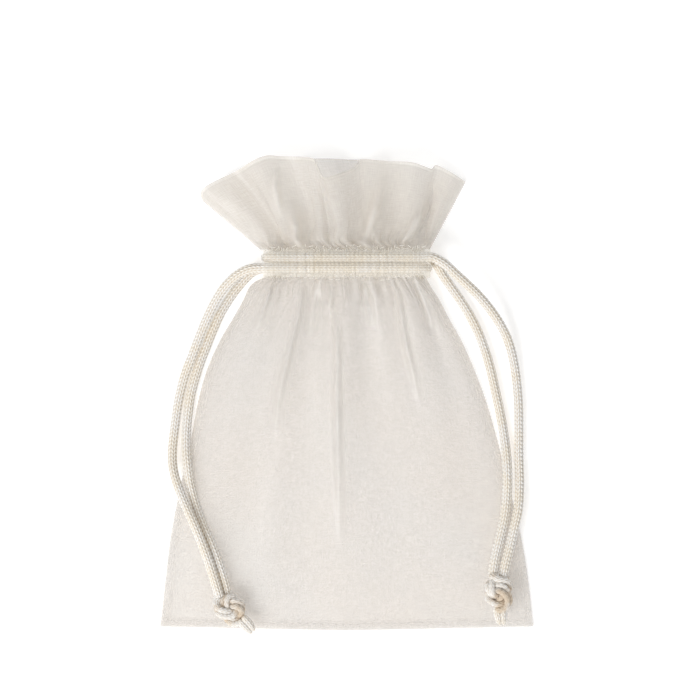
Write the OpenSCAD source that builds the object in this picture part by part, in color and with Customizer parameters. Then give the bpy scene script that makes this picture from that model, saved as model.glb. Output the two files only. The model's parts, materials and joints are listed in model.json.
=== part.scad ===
// Drawstring gift pouch in sheer fabric, lying on its back with its mouth towards +Y.
// The origin is under the middle of the pouch, on the surface that it lies on.

/* [Pouch] */
// Flat width of the pouch along its bottom edge
bag_w = 120; // [90:1:160]
// Height of the body, from the bottom edge to the lower stitch row of the casing
body_len = 113; // [90:1:150]
// Thickness of one gathered layer of the body
fabric_t = 0.5; // [0.3:0.1:0.8]
// Width of the seam allowance along the sides and the bottom
seam_w = 4; // [2.5:0.5:6]
// Thickness of the folded seam allowance between the two panels
seam_t = 0.8; // [0.4:0.1:1.2]

/* [Neck] */
// Width of the neck as the cords hold it
neck_w = 50; // [42:1:64]
// Distance between the two stitch rows of the casing
casing_h = 10; // [9.5:0.5:14]
// Thickness of the casing's wall
casing_wall = 0.6; // [0.4:0.1:1]
// Free gap through the neck, between the front and the back casing
neck_gap = 5; // [4.5:0.5:9]

/* [Header] */
// Height of the ruffle above the casing
header_len = 29; // [18:1:40]
// How far each side edge of the ruffle leans outwards, in degrees
fan_angle = 40; // [15:1:48]
// Thickness of the doubled fabric of the ruffle
header_t = 0.8; // [0.4:0.1:1.2]

/* [Cords] */
// Diameter of the drawstring cord
cord_d = 3; // [2.5:0.1:3.2]
// Clearance all round a cord in its channel
cord_gap = 0.3; // [0.2:0.05:0.5]
// Radius of the overhand knot that joins the two ends of a cord
knot_r = 4; // [3.5:0.1:4]
// Length of the knot along the cord
knot_len = 10; // [8:0.5:12]
// Length of the cut cord ends beyond the knot
tip_len = 6; // [3:0.5:9]

/* [Threads] */
// Width of a row of stitches
thread_w = 0.4; // [0.3:0.1:0.6]
// Height of a row of stitches above the fabric
thread_t = 0.3; // [0.2:0.1:0.4]
// Length of a bar tack along the edge of the fabric
tack_w = 4; // [3:0.5:5]

/* [Hidden] */

$fn = 48;
// Colours: body fabric, casing fabric, seams, threads and cord
body_colour = [0.88, 0.86, 0.83];
casing_colour = [0.87, 0.84, 0.76];
seam_colour = [0.84, 0.81, 0.76];
thread_colour = [0.95, 0.93, 0.88];
cord_colour = [0.95, 0.93, 0.89];

// Heights of the pouch: bottom edge, two stitch rows and top edge, with the middle at y = 0
overall_len = body_len + casing_h + header_len;
bottom_y = -overall_len / 2;
neck_low_y = bottom_y + body_len;
neck_high_y = neck_low_y + casing_h;
neck_mid_y = (neck_low_y + neck_high_y) / 2;

// The channel holds both cords side by side, a little apart
cords_apart = 0.4;
cord_pitch = cord_d + cords_apart;
channel_h = cord_d + 2 * cord_gap;
channel_w = cord_pitch + channel_h;
tunnel_h = channel_h + 2 * casing_wall;
tunnel_w = channel_w + 2 * casing_wall;
back_z = tunnel_h / 2;
front_z = tunnel_h + neck_gap + tunnel_h / 2;
lip_t = casing_wall;
// The casings stop short of the neck's ends, where the cords come out and turn back
casing_short = 4;
casing_half = neck_w / 2 - casing_short;
turn_r = (front_z - back_z) / 2;
// The tails begin just inside the neck's ends
tail_short = 1;
exit_x = neck_w / 2 - tail_short;
left_cord_y = neck_mid_y - cord_pitch / 2;
right_cord_y = neck_mid_y + cord_pitch / 2;

// Where the front panel lies on the seams, and how high it stands at the neck
seam_top = fabric_t + seam_t;
neck_under = front_z - fabric_t / 2;
header_seam_top = 2 * header_t;
header_under = front_z - header_t / 2;
// How much lower the ruffle's top edge lies than its foot
header_droop = 2;
header_tip_under = header_under - header_droop;
// How full the shoulder, the arch and the side view of the pouch are
shoulder_power = 0.55;
arch_power = 2.6;
swell_power = 0.7;
body_rows = 11;
arch_cols = 12;
header_rows = 5;

// Half width of the body at a share t of the way from the neck to the bottom edge
function half_width(t) = neck_w / 2 + (bag_w - neck_w) / 2 * pow(t, shoulder_power);
// Height of the arch at a share s of the way from the middle to the seam
function arch(s) = sqrt(max(0, 1 - pow(abs(s), arch_power)));
// Gap between the bottom seam and each side seam, and between a bar tack and the cord beside it
seam_apart = 0.2;
tack_apart = 0.4;
// Gap between the two cut cord ends, how far they start inside the knot, and how round the knot's rim is
tips_apart = 0.2;
tip_root = 1;
knot_rim_r = 2.5;
// Share of the body above the bottom seam allowance
seam_share = 1 - seam_w / body_len;
// Steps down the body: close together at the shoulder, and the last one is the bottom edge
body_steps = concat([for (i = [0:body_rows]) pow(i / body_rows, 2) * seam_share], [1]);
function body_y(t) = neck_low_y - t * body_len;
function body_rise(t) = (neck_under - seam_top) * pow(max(0, 1 - t / seam_share), swell_power);

// One row across the front panel: flat on both side seams and arched between them
function panel_row(t, lift) = let (w = half_width(t), y = body_y(t), inner = w - seam_w) concat(
    [[-w, y, seam_top + lift]],
    [for (j = [0:arch_cols]) let (s = 2 * j / arch_cols - 1)
        [s * inner, y, seam_top + lift + body_rise(t) * arch(s)]],
    [[w, y, seam_top + lift]]
);

// A point of the ruffle: u runs across from -1 to 1, v up from the casing to the top edge
function fan_x(u, v) = u * neck_w / 2 + v * header_len * sin(u * fan_angle);
function fan_y(u, v) = neck_high_y + v * header_len * cos(u * fan_angle);
function header_u(v) = 1 - seam_w / fan_x(1, v);
function header_rise(v) = header_under - header_seam_top + v * (header_tip_under - header_under);
function header_row(v, lift) = let (inner = header_u(v)) concat(
    [[fan_x(-1, v), fan_y(-1, v), header_seam_top + lift]],
    [for (j = [0:arch_cols]) let (s = 2 * j / arch_cols - 1)
        [fan_x(s * inner, v), fan_y(s * inner, v), header_seam_top + lift + header_rise(v) * arch(s)]],
    [[fan_x(1, v), fan_y(1, v), header_seam_top + lift]]
);

// Closed solid between two grids of points whose rows run towards -Y and columns towards +X
module sheet_solid(under, upper) {
    rows = len(under);
    cols = len(under[0]);
    n = rows * cols;
    points = concat([for (row = under) for (p = row) p], [for (row = upper) for (p = row) p]);
    cells = [for (i = [0:rows - 2]) for (j = [0:cols - 2])
        let (a = i * cols + j) [a, a + 1, a + cols + 1, a + cols]];
    top = [for (c = cells) for (f = [[c[0], c[1], c[2]], [c[0], c[2], c[3]]])
        [f[0] + n, f[1] + n, f[2] + n]];
    base = [for (c = cells) for (f = [[c[0], c[2], c[1]], [c[0], c[3], c[2]]]) f];
    first = [for (j = [0:cols - 2]) for (f = [[j, j + 1, j + 1 + n], [j, j + 1 + n, j + n]]) f];
    last = [for (j = [0:cols - 2]) let (a = (rows - 1) * cols + j)
        for (f = [[a, a + 1 + n, a + 1], [a, a + n, a + 1 + n]]) f];
    left = [for (i = [0:rows - 2]) let (a = i * cols, d = a + cols)
        for (f = [[d, a, a + n], [d, a + n, d + n]]) f];
    right = [for (i = [0:rows - 2]) let (a = i * cols + cols - 1, d = a + cols)
        for (f = [[d, a + n, a], [d, d + n, a + n]]) f];
    polyhedron(points, concat(top, base, first, last, left, right));
}

// Strip along one side edge of the body, from outer to inner millimetres in from the edge
module side_strip(side, outer, inner, z, t) {
    edge = [for (s = body_steps) [side * (half_width(s) - outer), body_y(s)]];
    inside = [for (i = [len(body_steps) - 1:-1:0])
        [side * (half_width(body_steps[i]) - inner), body_y(body_steps[i])]];
    translate([0, 0, z]) linear_extrude(t) polygon(concat(edge, inside));
}

// Outline of the body, and of the ruffle, as flat shapes
module body_outline() {
    polygon(concat(
        [for (s = body_steps) [half_width(s), body_y(s)]],
        [for (i = [len(body_steps) - 1:-1:0]) [-half_width(body_steps[i]), body_y(body_steps[i])]]
    ));
}

module header_outline() {
    polygon(concat(
        [for (v = [0:1 / header_rows:1]) [fan_x(-1, v), fan_y(-1, v)]],
        [for (j = [1:arch_cols - 1]) let (u = 2 * j / arch_cols - 1) [fan_x(u, 1), fan_y(u, 1)]],
        [for (v = [1:-1 / header_rows:0]) [fan_x(1, v), fan_y(1, v)]]
    ));
}

// Flat shape with two round ends, w long and h high
module round_slot(w, h) {
    union() {
        square([w - h, h], center = true);
        for (s = [-1, 1])
            translate([s * (w - h) / 2, 0]) circle(d = h);
    }
}

// A length of casing along X about its channel, with a flat lip at lip_z for each stitch row
module casing(z, lip_z) {
    translate([0, neck_mid_y, z]) rotate([90, 0, 90])
        linear_extrude(2 * casing_half, center = true)
            difference() {
                union() {
                    round_slot(tunnel_w, tunnel_h);
                    translate([-casing_h / 2, lip_z]) square([casing_h, lip_t]);
                }
                round_slot(channel_w, channel_h);
            }
}

// A row of stitches on a casing's lip, just inside its upper (side 1) or lower (side -1) edge
module stitch_row(side, z) {
    lip_w = (casing_h - tunnel_w) / 2;
    translate([-casing_half, neck_mid_y + side * (casing_h / 2 - lip_w / 2) - thread_w / 2, z])
        cube([2 * casing_half, thread_w, thread_t]);
}

// Bar tack that ends the side seam beside the casing: side along X, up along Y
module tack(side, up) {
    depth = (casing_h - 2 * cord_pitch) / 2 - tack_apart;
    edge_y = up > 0 ? neck_high_y - depth : neck_low_y;
    translate([side * (neck_w / 2 - tack_w / 2), edge_y + depth / 2, seam_top / 2 + fabric_t])
        cube([tack_w, depth, seam_top], center = true);
}

// Straight run of cord inside one casing
module cord_run(side, y, z) {
    translate([side > 0 ? -casing_half : -exit_x, y, z]) rotate([0, 90, 0])
        cylinder(d = cord_d, h = casing_half + exit_x);
}

// Half turn of cord from the front channel round to the back one, at the far end of the neck
module cord_turn(side, y) {
    translate([-side * casing_half, y, (front_z + back_z) / 2]) rotate([90, 0, 0])
        rotate([0, 0, side > 0 ? 90 : -90])
            rotate_extrude(angle = 180)
                translate([turn_r, 0]) circle(d = cord_d);
}

function unit(v) = v / norm(v);
// Direction of a route at its point i
function heading(route, i) = unit(route[min(i + 1, len(route) - 1)] - route[max(i - 1, 0)]);
// Ring of points round a route at its point i
function ring(route, i, sides) = let (
    along = heading(route, i),
    across = unit(cross(along, [0, 0, 1])),
    up = cross(across, along)
) [for (k = [0:sides - 1]) let (a = 360 * k / sides)
    route[i] + cord_d / 2 * (cos(a) * across + sin(a) * up)];

// Free cord swept along its route as one closed tube
module cord_tube(route) {
    sides = 8;
    rings = len(route);
    points = [for (i = [0:rings - 1]) for (p = ring(route, i, sides)) p];
    walls = [for (i = [0:rings - 2]) for (k = [0:sides - 1])
        let (a = i * sides + k, b = i * sides + (k + 1) % sides)
            for (f = [[a, b, b + sides], [a, b + sides, a + sides]]) f];
    start = [[for (k = [sides - 1:-1:0]) k]];
    end = [[for (k = [0:sides - 1]) (rings - 1) * sides + k]];
    polyhedron(points, concat(walls, start, end));
}

// Knot: a round-ended barrel about X
module knot_body() {
    rotate([0, 90, 0]) rotate_extrude() union() {
        translate([0, -knot_len / 2]) square([knot_r - knot_rim_r, knot_len]);
        translate([0, -knot_len / 2 + knot_rim_r]) square([knot_r, knot_len - 2 * knot_rim_r]);
        for (s = [-1, 1])
            translate([knot_r - knot_rim_r, s * (knot_len / 2 - knot_rim_r)])
                intersection() {
                    circle(r = knot_rim_r);
                    translate([0, -knot_rim_r]) square([knot_rim_r, 2 * knot_rim_r]);
                }
    }
}

// Two cut cord ends side by side, pointing along X from the middle of the knot
module cord_ends() {
    for (s = [-1, 1])
        translate([knot_len / 2 - tip_root, s * (cord_d + tips_apart) / 2, 0]) rotate([0, 90, 0])
            cylinder(d = cord_d, h = tip_len + tip_root);
}

// Routes of the four tails, as chosen points from the casing to the knot
left_front_route = [
    [-24, 40.3, 12.2], [-27, 40.3, 12.2], [-31, 39.9, 11.6], [-35, 37.9, 10.4], [-38.8, 34.4, 8.8],
    [-41.8, 30, 7.2], [-44.4, 25, 5.8], [-46.8, 19.5, 4.4], [-49.3, 13, 3.3], [-52, 6, 2.3],
    [-54, -2, 1.7], [-55.3, -11, 1.7], [-56, -19, 2.6], [-55.4, -25, 4.2], [-53.4, -31, 5.6],
    [-50.8, -37, 6.8], [-48.3, -42.5, 7.7], [-45.9, -48.5, 8], [-43.6, -55, 7.7], [-41.8, -61, 7.1],
    [-40.6, -65, 6.8]
];
left_back_route = [
    [-24, 40.3, 2.4], [-27, 40.3, 2.4], [-30.5, 39, 2.1], [-34, 35.6, 1.7], [-37.4, 31.2, 1.6],
    [-40.6, 26, 1.6], [-43.1, 20.5, 1.6], [-45.3, 15, 1.6], [-47.9, 8, 1.6], [-50.1, 0, 1.6],
    [-51.2, -8, 1.8], [-51.6, -15, 2.6], [-51.2, -22, 3.7], [-50.2, -29, 3.8], [-48.3, -36, 4.2],
    [-46, -42, 5], [-43.3, -48, 5.6], [-40.9, -54.5, 5.5], [-39.2, -60, 4.9], [-38.2, -64.5, 4.6]
];
right_front_route = [
    [24, 43.7, 12.2], [27, 43.7, 12.2], [30.8, 41.8, 11.8], [34.4, 38.6, 10.8], [38.2, 35.2, 9.6],
    [42, 31.6, 8.1], [45.8, 27.2, 6.5], [49.3, 22, 4.8], [51.9, 16.5, 3.4], [53.6, 10, 2.3],
    [54.6, 3, 1.7], [55.1, -4, 1.7], [55.2, -12, 1.7], [55.2, -20, 1.8], [55.4, -28, 2.5],
    [55, -36, 3.8], [53.8, -42, 4.2], [52.4, -48, 4.5], [51, -53.5, 5.1], [49.9, -58.5, 5.7]
];
right_back_route = [
    [24, 43.7, 2.4], [26.8, 43.7, 2.4], [29, 41.4, 2.3], [31, 38, 2], [33.6, 34.2, 1.7],
    [36.4, 30.2, 1.6], [39.4, 25.4, 1.6], [42.1, 20, 1.6], [44.2, 14.5, 1.6], [46, 8.5, 1.6],
    [47.7, 1, 1.6], [49.2, -6, 1.6], [50.4, -13, 1.9], [51.2, -20, 2.9], [51.5, -27, 3.6],
    [51.2, -34, 3.8], [50.4, -40, 4.2], [49, -46, 4.6], [47.6, -52, 5], [46.6, -58, 5.5]
];
// Middle of each knot, and the way that its cord ends point
left_knot_at = [-37, -68, 7];
left_knot_turn = -48;
right_knot_at = [48, -63, 7.2];
right_knot_turn = -82;

module front_panel() {
    color(body_colour)
        sheet_solid([for (t = body_steps) panel_row(t, 0)], [for (t = body_steps) panel_row(t, fabric_t)]);
}

module back_panel() {
    color(body_colour) linear_extrude(fabric_t) body_outline();
}

module side_seam(side) {
    color(seam_colour) side_strip(side, 0, seam_w, fabric_t, seam_t);
}

module bottom_seam() {
    inner = bag_w / 2 - seam_w - seam_apart;
    top_inner = half_width(seam_share) - seam_w - seam_apart;
    color(seam_colour) translate([0, 0, fabric_t]) linear_extrude(seam_t)
        polygon([[-inner, bottom_y], [inner, bottom_y],
            [top_inner, bottom_y + seam_w], [-top_inner, bottom_y + seam_w]]);
}

module seam_thread(side) {
    middle = seam_w / 2;
    color(thread_colour)
        side_strip(side, middle - thread_w / 2, middle + thread_w / 2, seam_top + fabric_t, thread_t);
}

module bottom_seam_thread() {
    length = bag_w - 4 * seam_w;
    color(thread_colour)
        translate([-length / 2, bottom_y + (seam_w - thread_w) / 2, seam_top + fabric_t])
            cube([length, thread_w, thread_t]);
}

module front_casing() {
    color(casing_colour) casing(front_z, -lip_t / 2);
}

module back_casing() {
    color(casing_colour) casing(back_z, -tunnel_h / 2);
}

module front_header() {
    steps = [for (i = [header_rows:-1:0]) i / header_rows];
    color(body_colour)
        sheet_solid([for (v = steps) header_row(v, 0)], [for (v = steps) header_row(v, header_t)]);
}

module back_header() {
    color(body_colour) linear_extrude(header_t) header_outline();
}

module header_seam(side) {
    inner_low = side * (neck_w / 2 - seam_w);
    inner_high = side * fan_x(header_u(1), 1);
    color(seam_colour) translate([0, 0, header_t]) linear_extrude(header_t)
        polygon([[side * fan_x(1, 0), fan_y(1, 0)], [side * fan_x(1, 1), fan_y(1, 1)],
            [inner_high, fan_y(header_u(1), 1)], [inner_low, neck_high_y]]);
}

module left_tack(up) {
    color(thread_colour) tack(-1, up);
}

module right_tack(up) {
    color(thread_colour) tack(1, up);
}

module knot(at, turn) {
    color(cord_colour) translate(at) rotate([0, 0, turn]) knot_body();
}

module tips(at, turn) {
    color(cord_colour) translate(at) rotate([0, 0, turn]) cord_ends();
}

front_panel();
back_panel();
side_seam(-1);  // left_side_seam
side_seam(1);  // right_side_seam
bottom_seam();
seam_thread(-1);  // left_seam_thread
seam_thread(1);  // right_seam_thread
bottom_seam_thread();
front_casing();
back_casing();
color(thread_colour) stitch_row(1, front_z + lip_t / 2);  // front_upper_stitches
color(thread_colour) stitch_row(-1, front_z + lip_t / 2);  // front_lower_stitches
color(thread_colour) stitch_row(1, lip_t);  // back_upper_stitches
color(thread_colour) stitch_row(-1, lip_t);  // back_lower_stitches
front_header();
back_header();
header_seam(-1);  // left_header_seam
header_seam(1);  // right_header_seam
left_tack(-1);  // left_lower_tack
left_tack(1);  // left_upper_tack
right_tack(-1);  // right_lower_tack
right_tack(1);  // right_upper_tack
color(cord_colour) cord_run(-1, left_cord_y, front_z);  // left_cord_front_run
color(cord_colour) cord_run(-1, left_cord_y, back_z);  // left_cord_back_run
color(cord_colour) cord_turn(-1, left_cord_y);  // left_cord_turn
color(cord_colour) cord_tube(left_front_route);  // left_cord_front_tail
color(cord_colour) cord_tube(left_back_route);  // left_cord_back_tail
knot(left_knot_at, left_knot_turn);  // left_knot
tips(left_knot_at, left_knot_turn);  // left_cord_tips
color(cord_colour) cord_run(1, right_cord_y, front_z);  // right_cord_front_run
color(cord_colour) cord_run(1, right_cord_y, back_z);  // right_cord_back_run
color(cord_colour) cord_turn(1, right_cord_y);  // right_cord_turn
color(cord_colour) cord_tube(right_front_route);  // right_cord_front_tail
color(cord_colour) cord_tube(right_back_route);  // right_cord_back_tail
knot(right_knot_at, right_knot_turn);  // right_knot
tips(right_knot_at, right_knot_turn);  // right_cord_tips
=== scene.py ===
# %% [markdown]
# # A drawstring gift pouch in sheer organza
#
# The real pouch is two panels of stiff, see-through organza, sewn down both sides and along the bottom.
# Near the mouth two rows of stitching make a casing, and two soft knitted cords run through it, one from
# each side. Pulling both knots gathers the neck and leaves a ruffle above it.
#
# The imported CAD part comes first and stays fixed. Everything made here is laid around it, in metres, in its
# frame.

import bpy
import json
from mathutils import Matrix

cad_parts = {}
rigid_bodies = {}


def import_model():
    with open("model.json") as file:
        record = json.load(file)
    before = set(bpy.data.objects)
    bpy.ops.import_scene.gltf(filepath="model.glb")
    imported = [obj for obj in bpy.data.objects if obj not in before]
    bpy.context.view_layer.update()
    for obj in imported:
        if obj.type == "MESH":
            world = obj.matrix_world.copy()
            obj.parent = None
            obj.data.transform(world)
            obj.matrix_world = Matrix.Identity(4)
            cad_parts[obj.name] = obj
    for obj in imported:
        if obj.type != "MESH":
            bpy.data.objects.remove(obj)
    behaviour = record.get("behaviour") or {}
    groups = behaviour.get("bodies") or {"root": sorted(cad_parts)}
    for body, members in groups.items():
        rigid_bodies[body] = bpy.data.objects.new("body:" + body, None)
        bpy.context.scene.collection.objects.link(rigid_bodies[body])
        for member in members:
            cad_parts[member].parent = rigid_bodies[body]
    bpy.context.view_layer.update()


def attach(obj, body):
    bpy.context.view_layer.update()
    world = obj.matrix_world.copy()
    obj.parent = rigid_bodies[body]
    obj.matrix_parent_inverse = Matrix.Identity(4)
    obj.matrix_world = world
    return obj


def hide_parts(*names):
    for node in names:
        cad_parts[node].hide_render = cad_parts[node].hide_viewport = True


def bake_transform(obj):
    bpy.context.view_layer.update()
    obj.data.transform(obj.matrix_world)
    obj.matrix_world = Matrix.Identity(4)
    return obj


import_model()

# %% [markdown]
# Cloth and cord are worked out as whole grids of points at once, which numpy does well. All sizes are in
# millimetres until a mesh is written.

# %% Tools used all the way through
import json
import math

import bpy
import numpy as np

MM = 0.001
UP = np.array([0.0, 0.0, 1.0])
print("a millimetre is", MM, "of Blender's units")

# %% [markdown]
# ## The camera
#
# The pouch lies flat on a table and is looked at from straight above, from far enough away that it is
# hardly foreshortened. A long lens one metre up does that, and it needs no shift: the camera simply stands
# over the middle.

# %% Camera
camera_height = 1.0
view_width = 224 * MM
view_middle = (1.0 * MM, 14.2 * MM)
table_to_middle = 5 * MM
sensor_width = 36.0

camera_data = bpy.data.cameras.new("camera_above")
camera_data.sensor_width = sensor_width
camera_data.lens = sensor_width * camera_height / view_width
camera = bpy.data.objects.new("camera_above", camera_data)
camera.location = (*view_middle, camera_height + table_to_middle)
bpy.context.scene.collection.objects.link(camera)
bpy.context.scene.camera = camera
print("lens", round(camera_data.lens, 1), "mm")

# %% [markdown]
# ## Routes of the four cord tails
#
# Each drawstring leaves the neck twice, once from the front casing and once from the back one. The two
# tails fall beside the pouch, come to rest on its lower corner and are tied together there. The points are
# those that the CAD tubes follow, so the soft cords lie exactly where the solid ones do.

# %% Routes, in millimetres
left_front_route = [
    (-24, 40.3, 12.2), (-27, 40.3, 12.2), (-31, 39.9, 11.6), (-35, 37.9, 10.4), (-38.8, 34.4, 8.8),
    (-41.8, 30, 7.2), (-44.4, 25, 5.8), (-46.8, 19.5, 4.4), (-49.3, 13, 3.3), (-52, 6, 2.3), (-54, -2, 1.7),
    (-55.3, -11, 1.7), (-56, -19, 2.6), (-55.4, -25, 4.2), (-53.4, -31, 5.6), (-50.8, -37, 6.8),
    (-48.3, -42.5, 7.7), (-45.9, -48.5, 8), (-43.6, -55, 7.7), (-41.8, -61, 7.1), (-40.6, -65, 6.8),
]
left_back_route = [
    (-24, 40.3, 2.4), (-27, 40.3, 2.4), (-30.5, 39, 2.1), (-34, 35.6, 1.7), (-37.4, 31.2, 1.6),
    (-40.6, 26, 1.6), (-43.1, 20.5, 1.6), (-45.3, 15, 1.6), (-47.9, 8, 1.6), (-50.1, 0, 1.6),
    (-51.2, -8, 1.8), (-51.6, -15, 2.6), (-51.2, -22, 3.7), (-50.2, -29, 3.8), (-48.3, -36, 4.2),
    (-46, -42, 5), (-43.3, -48, 5.6), (-40.9, -54.5, 5.5), (-39.2, -60, 4.9), (-38.2, -64.5, 4.6),
]
right_front_route = [
    (24, 43.7, 12.2), (27, 43.7, 12.2), (30.8, 41.8, 11.8), (34.4, 38.6, 10.8), (38.2, 35.2, 9.6),
    (42, 31.6, 8.1), (45.8, 27.2, 6.5), (49.3, 22, 4.8), (51.9, 16.5, 3.4), (53.6, 10, 2.3), (54.6, 3, 1.7),
    (55.1, -4, 1.7), (55.2, -12, 1.7), (55.2, -20, 1.8), (55.4, -28, 2.5), (55, -36, 3.8), (53.8, -42, 4.2),
    (52.4, -48, 4.5), (51, -53.5, 5.1), (49.9, -58.5, 5.7),
]
right_back_route = [
    (24, 43.7, 2.4), (26.8, 43.7, 2.4), (29, 41.4, 2.3), (31, 38, 2), (33.6, 34.2, 1.7), (36.4, 30.2, 1.6),
    (39.4, 25.4, 1.6), (42.1, 20, 1.6), (44.2, 14.5, 1.6), (46, 8.5, 1.6), (47.7, 1, 1.6), (49.2, -6, 1.6),
    (50.4, -13, 1.9), (51.2, -20, 2.9), (51.5, -27, 3.6), (51.2, -34, 3.8), (50.4, -40, 4.2), (49, -46, 4.6),
    (47.6, -52, 5), (46.6, -58, 5.5),
]
routes = {"left": (left_front_route, left_back_route), "right": (right_front_route, right_back_route)}
for side in routes:
    print(side, "routes have", [len(route) for route in routes[side]], "points")

# %% [markdown]
# A cord never has a corner in it, so the points are joined by a smooth curve, a Catmull-Rom spline, and
# then walked along at even steps. Even steps matter later: the knitted loops are counted off along the
# cord's length.

# %% Smooth curves through points
def lengths_along(points):
    """Distance along a line at each of its points, from 0 at its start."""
    steps = np.linalg.norm(np.diff(points, axis=0), axis=1)
    return np.concatenate([[0.0], np.cumsum(steps)])


def at_lengths(points, wanted):
    """Points at the wanted distances along a line."""
    along = lengths_along(points)
    return np.stack([np.interp(wanted, along, points[:, k]) for k in range(points.shape[1])], axis=1)


def smooth(points, per_stretch=24):
    """A Catmull-Rom spline through all the points."""
    points = np.array(points, float)
    before = 2 * points[:1] - points[1:2]
    after = 2 * points[-1:] - points[-2:-1]
    p = np.vstack([before, points, after])
    s = np.linspace(0, 1, per_stretch, endpoint=False)[:, None]
    parts = []
    for i in range(1, len(p) - 2):
        a, b, c, d = p[i - 1], p[i], p[i + 1], p[i + 2]
        parts.append(
            0.5 * (2 * b + (c - a) * s + (2 * a - 5 * b + 4 * c - d) * s**2 + (3 * b - a - 3 * c + d) * s**3)
        )
    return np.vstack(parts + [points[-1:]])


def even(points, step):
    """The same line in even steps of about this length."""
    total = lengths_along(points)[-1]
    count = max(4, int(round(total / step)))
    return at_lengths(points, np.linspace(0, total, count + 1))


for route_name, route in (("left front", left_front_route), ("right front", right_front_route)):
    print(route_name, "tail is", round(lengths_along(smooth(route))[-1], 1), "mm long")

# %% [markdown]
# ## What the cord is
#
# The cord is a soft tube, sold as 3 mm, knitted from satin yarn. Up close its skin is rows of plump
# V-shaped loops that nest into each other, in five columns round the tube. The loops are made in the mesh:
# for every point of the tube's skin a small formula says which loop it is on and how high it stands. How
# high a point stands is kept as an attribute named Relief, so that the finish can paint tan shade down
# between the loops.

# %% Loops of the knitted cord
cord_d = 3.2  # over the crests of the loops
loop_pitch = 1.3  # from one loop to the next along the cord
loop_columns = 5
loop_depth = 0.5  # how far the gaps lie below the crests
loop_slant = 0.95  # how far the legs of a V run along the cord, in pitches
leg_thinning = 0.75  # how much flatter a leg gets towards its sides


def loop_height(along, turn):
    """1 on a loop's crest and 0 in the gap beside it. along is in mm and turn in radians."""
    across = (turn * loop_columns / (2 * np.pi)) % 1.0 * 2 - 1
    row = (along / loop_pitch + loop_slant * np.abs(across)) % 1.0
    plump = np.sqrt(np.clip(1 - (2 * row - 1) ** 2, 0, 1))
    leg = 1 - leg_thinning * np.abs(2 * np.abs(across) - 1) ** 3
    return plump * leg


def frames_along(line):
    """Directions along, up and sideways at each point of a line, turning as little as they can."""
    forward = np.gradient(line, axis=0)
    forward /= np.linalg.norm(forward, axis=1)[:, None]
    up = np.zeros_like(line)
    start = UP - forward[0] * (UP @ forward[0])
    up[0] = start / np.linalg.norm(start)
    for i in range(1, len(line)):
        turned = up[i - 1] - forward[i] * (up[i - 1] @ forward[i])
        up[i] = turned / np.linalg.norm(turned)
    return forward, up, np.cross(forward, up)


print("about", round(1000 / loop_pitch * loop_columns), "loops to a metre of cord")

# %% [markdown]
# The skin is a tube of rings with a pole at each end. The last rings shrink in a small dome, so that the
# tube is closed and its end looks soft.

# %% Skin of the cord
around = 40  # points round the tube
ring_step = 0.13
end_round = 0.6  # length of the domed end
least_dome = 0.05  # size of the last ring, as a share of the tube
pole_height = 0.3


def knit(line, thickness=None):
    """Skin of one knitted cord along a line in mm. thickness gives its diameter at each distance along it."""
    line = even(line, ring_step)
    along = lengths_along(line)
    _, up, side = frames_along(line)
    turn = np.linspace(0, 2 * np.pi, around, endpoint=False)
    height = loop_height(along[:, None], turn[None])
    diameter = np.full(len(along), cord_d) if thickness is None else thickness(along)
    radius = diameter[:, None] * (0.5 - loop_depth / cord_d * (1 - height))
    left_over = np.minimum(along, along[-1] - along)
    dome = np.sqrt(np.clip(1 - (1 - np.clip(left_over / end_round, 0, 1)) ** 2, 0, 1))
    radius = radius * np.maximum(dome, least_dome)[:, None]
    points = (
        line[:, None]
        + radius[..., None] * (np.cos(turn)[None, :, None] * up[:, None])
        + radius[..., None] * (np.sin(turn)[None, :, None] * side[:, None])
    ).reshape(-1, 3)
    rings = len(line)
    i, j = np.meshgrid(np.arange(rings - 1), np.arange(around), indexing="ij")
    following = (j + 1) % around
    faces = np.stack(
        [i * around + j, (i + 1) * around + j, (i + 1) * around + following, i * around + following], -1
    )
    ring = np.arange(around)
    last_ring = (rings - 1) * around
    first_pole, last_pole = np.full(around, len(points)), np.full(around, len(points) + 1)
    start_cap = np.stack([ring, (ring + 1) % around, first_pole], -1)
    end_cap = np.stack([last_ring + (ring + 1) % around, last_ring + ring, last_pole], -1)
    skin_place = np.stack([np.repeat(along, around), np.tile(turn * cord_d / 2, rings)], -1)
    return {
        "points": np.vstack([points, line[0], line[-1]]),
        "quads": faces.reshape(-1, 4),
        "triangles": np.vstack([start_cap, end_cap]),
        "height": np.concatenate([height.reshape(-1), [pole_height, pole_height]]),
        "place": np.vstack([skin_place, [0.0, 0.0], [along[-1], 0.0]]),
    }


print("a metre of cord takes", round(1000 / ring_step) * around, "faces")

# %% [markdown]
# Every mesh in the scene goes through the same small builder. It takes points in millimetres, writes them
# in metres at the origin, and can add a value for each point and a flat map (UV) that says where each point
# lies on the cloth or on the cord.

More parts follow.
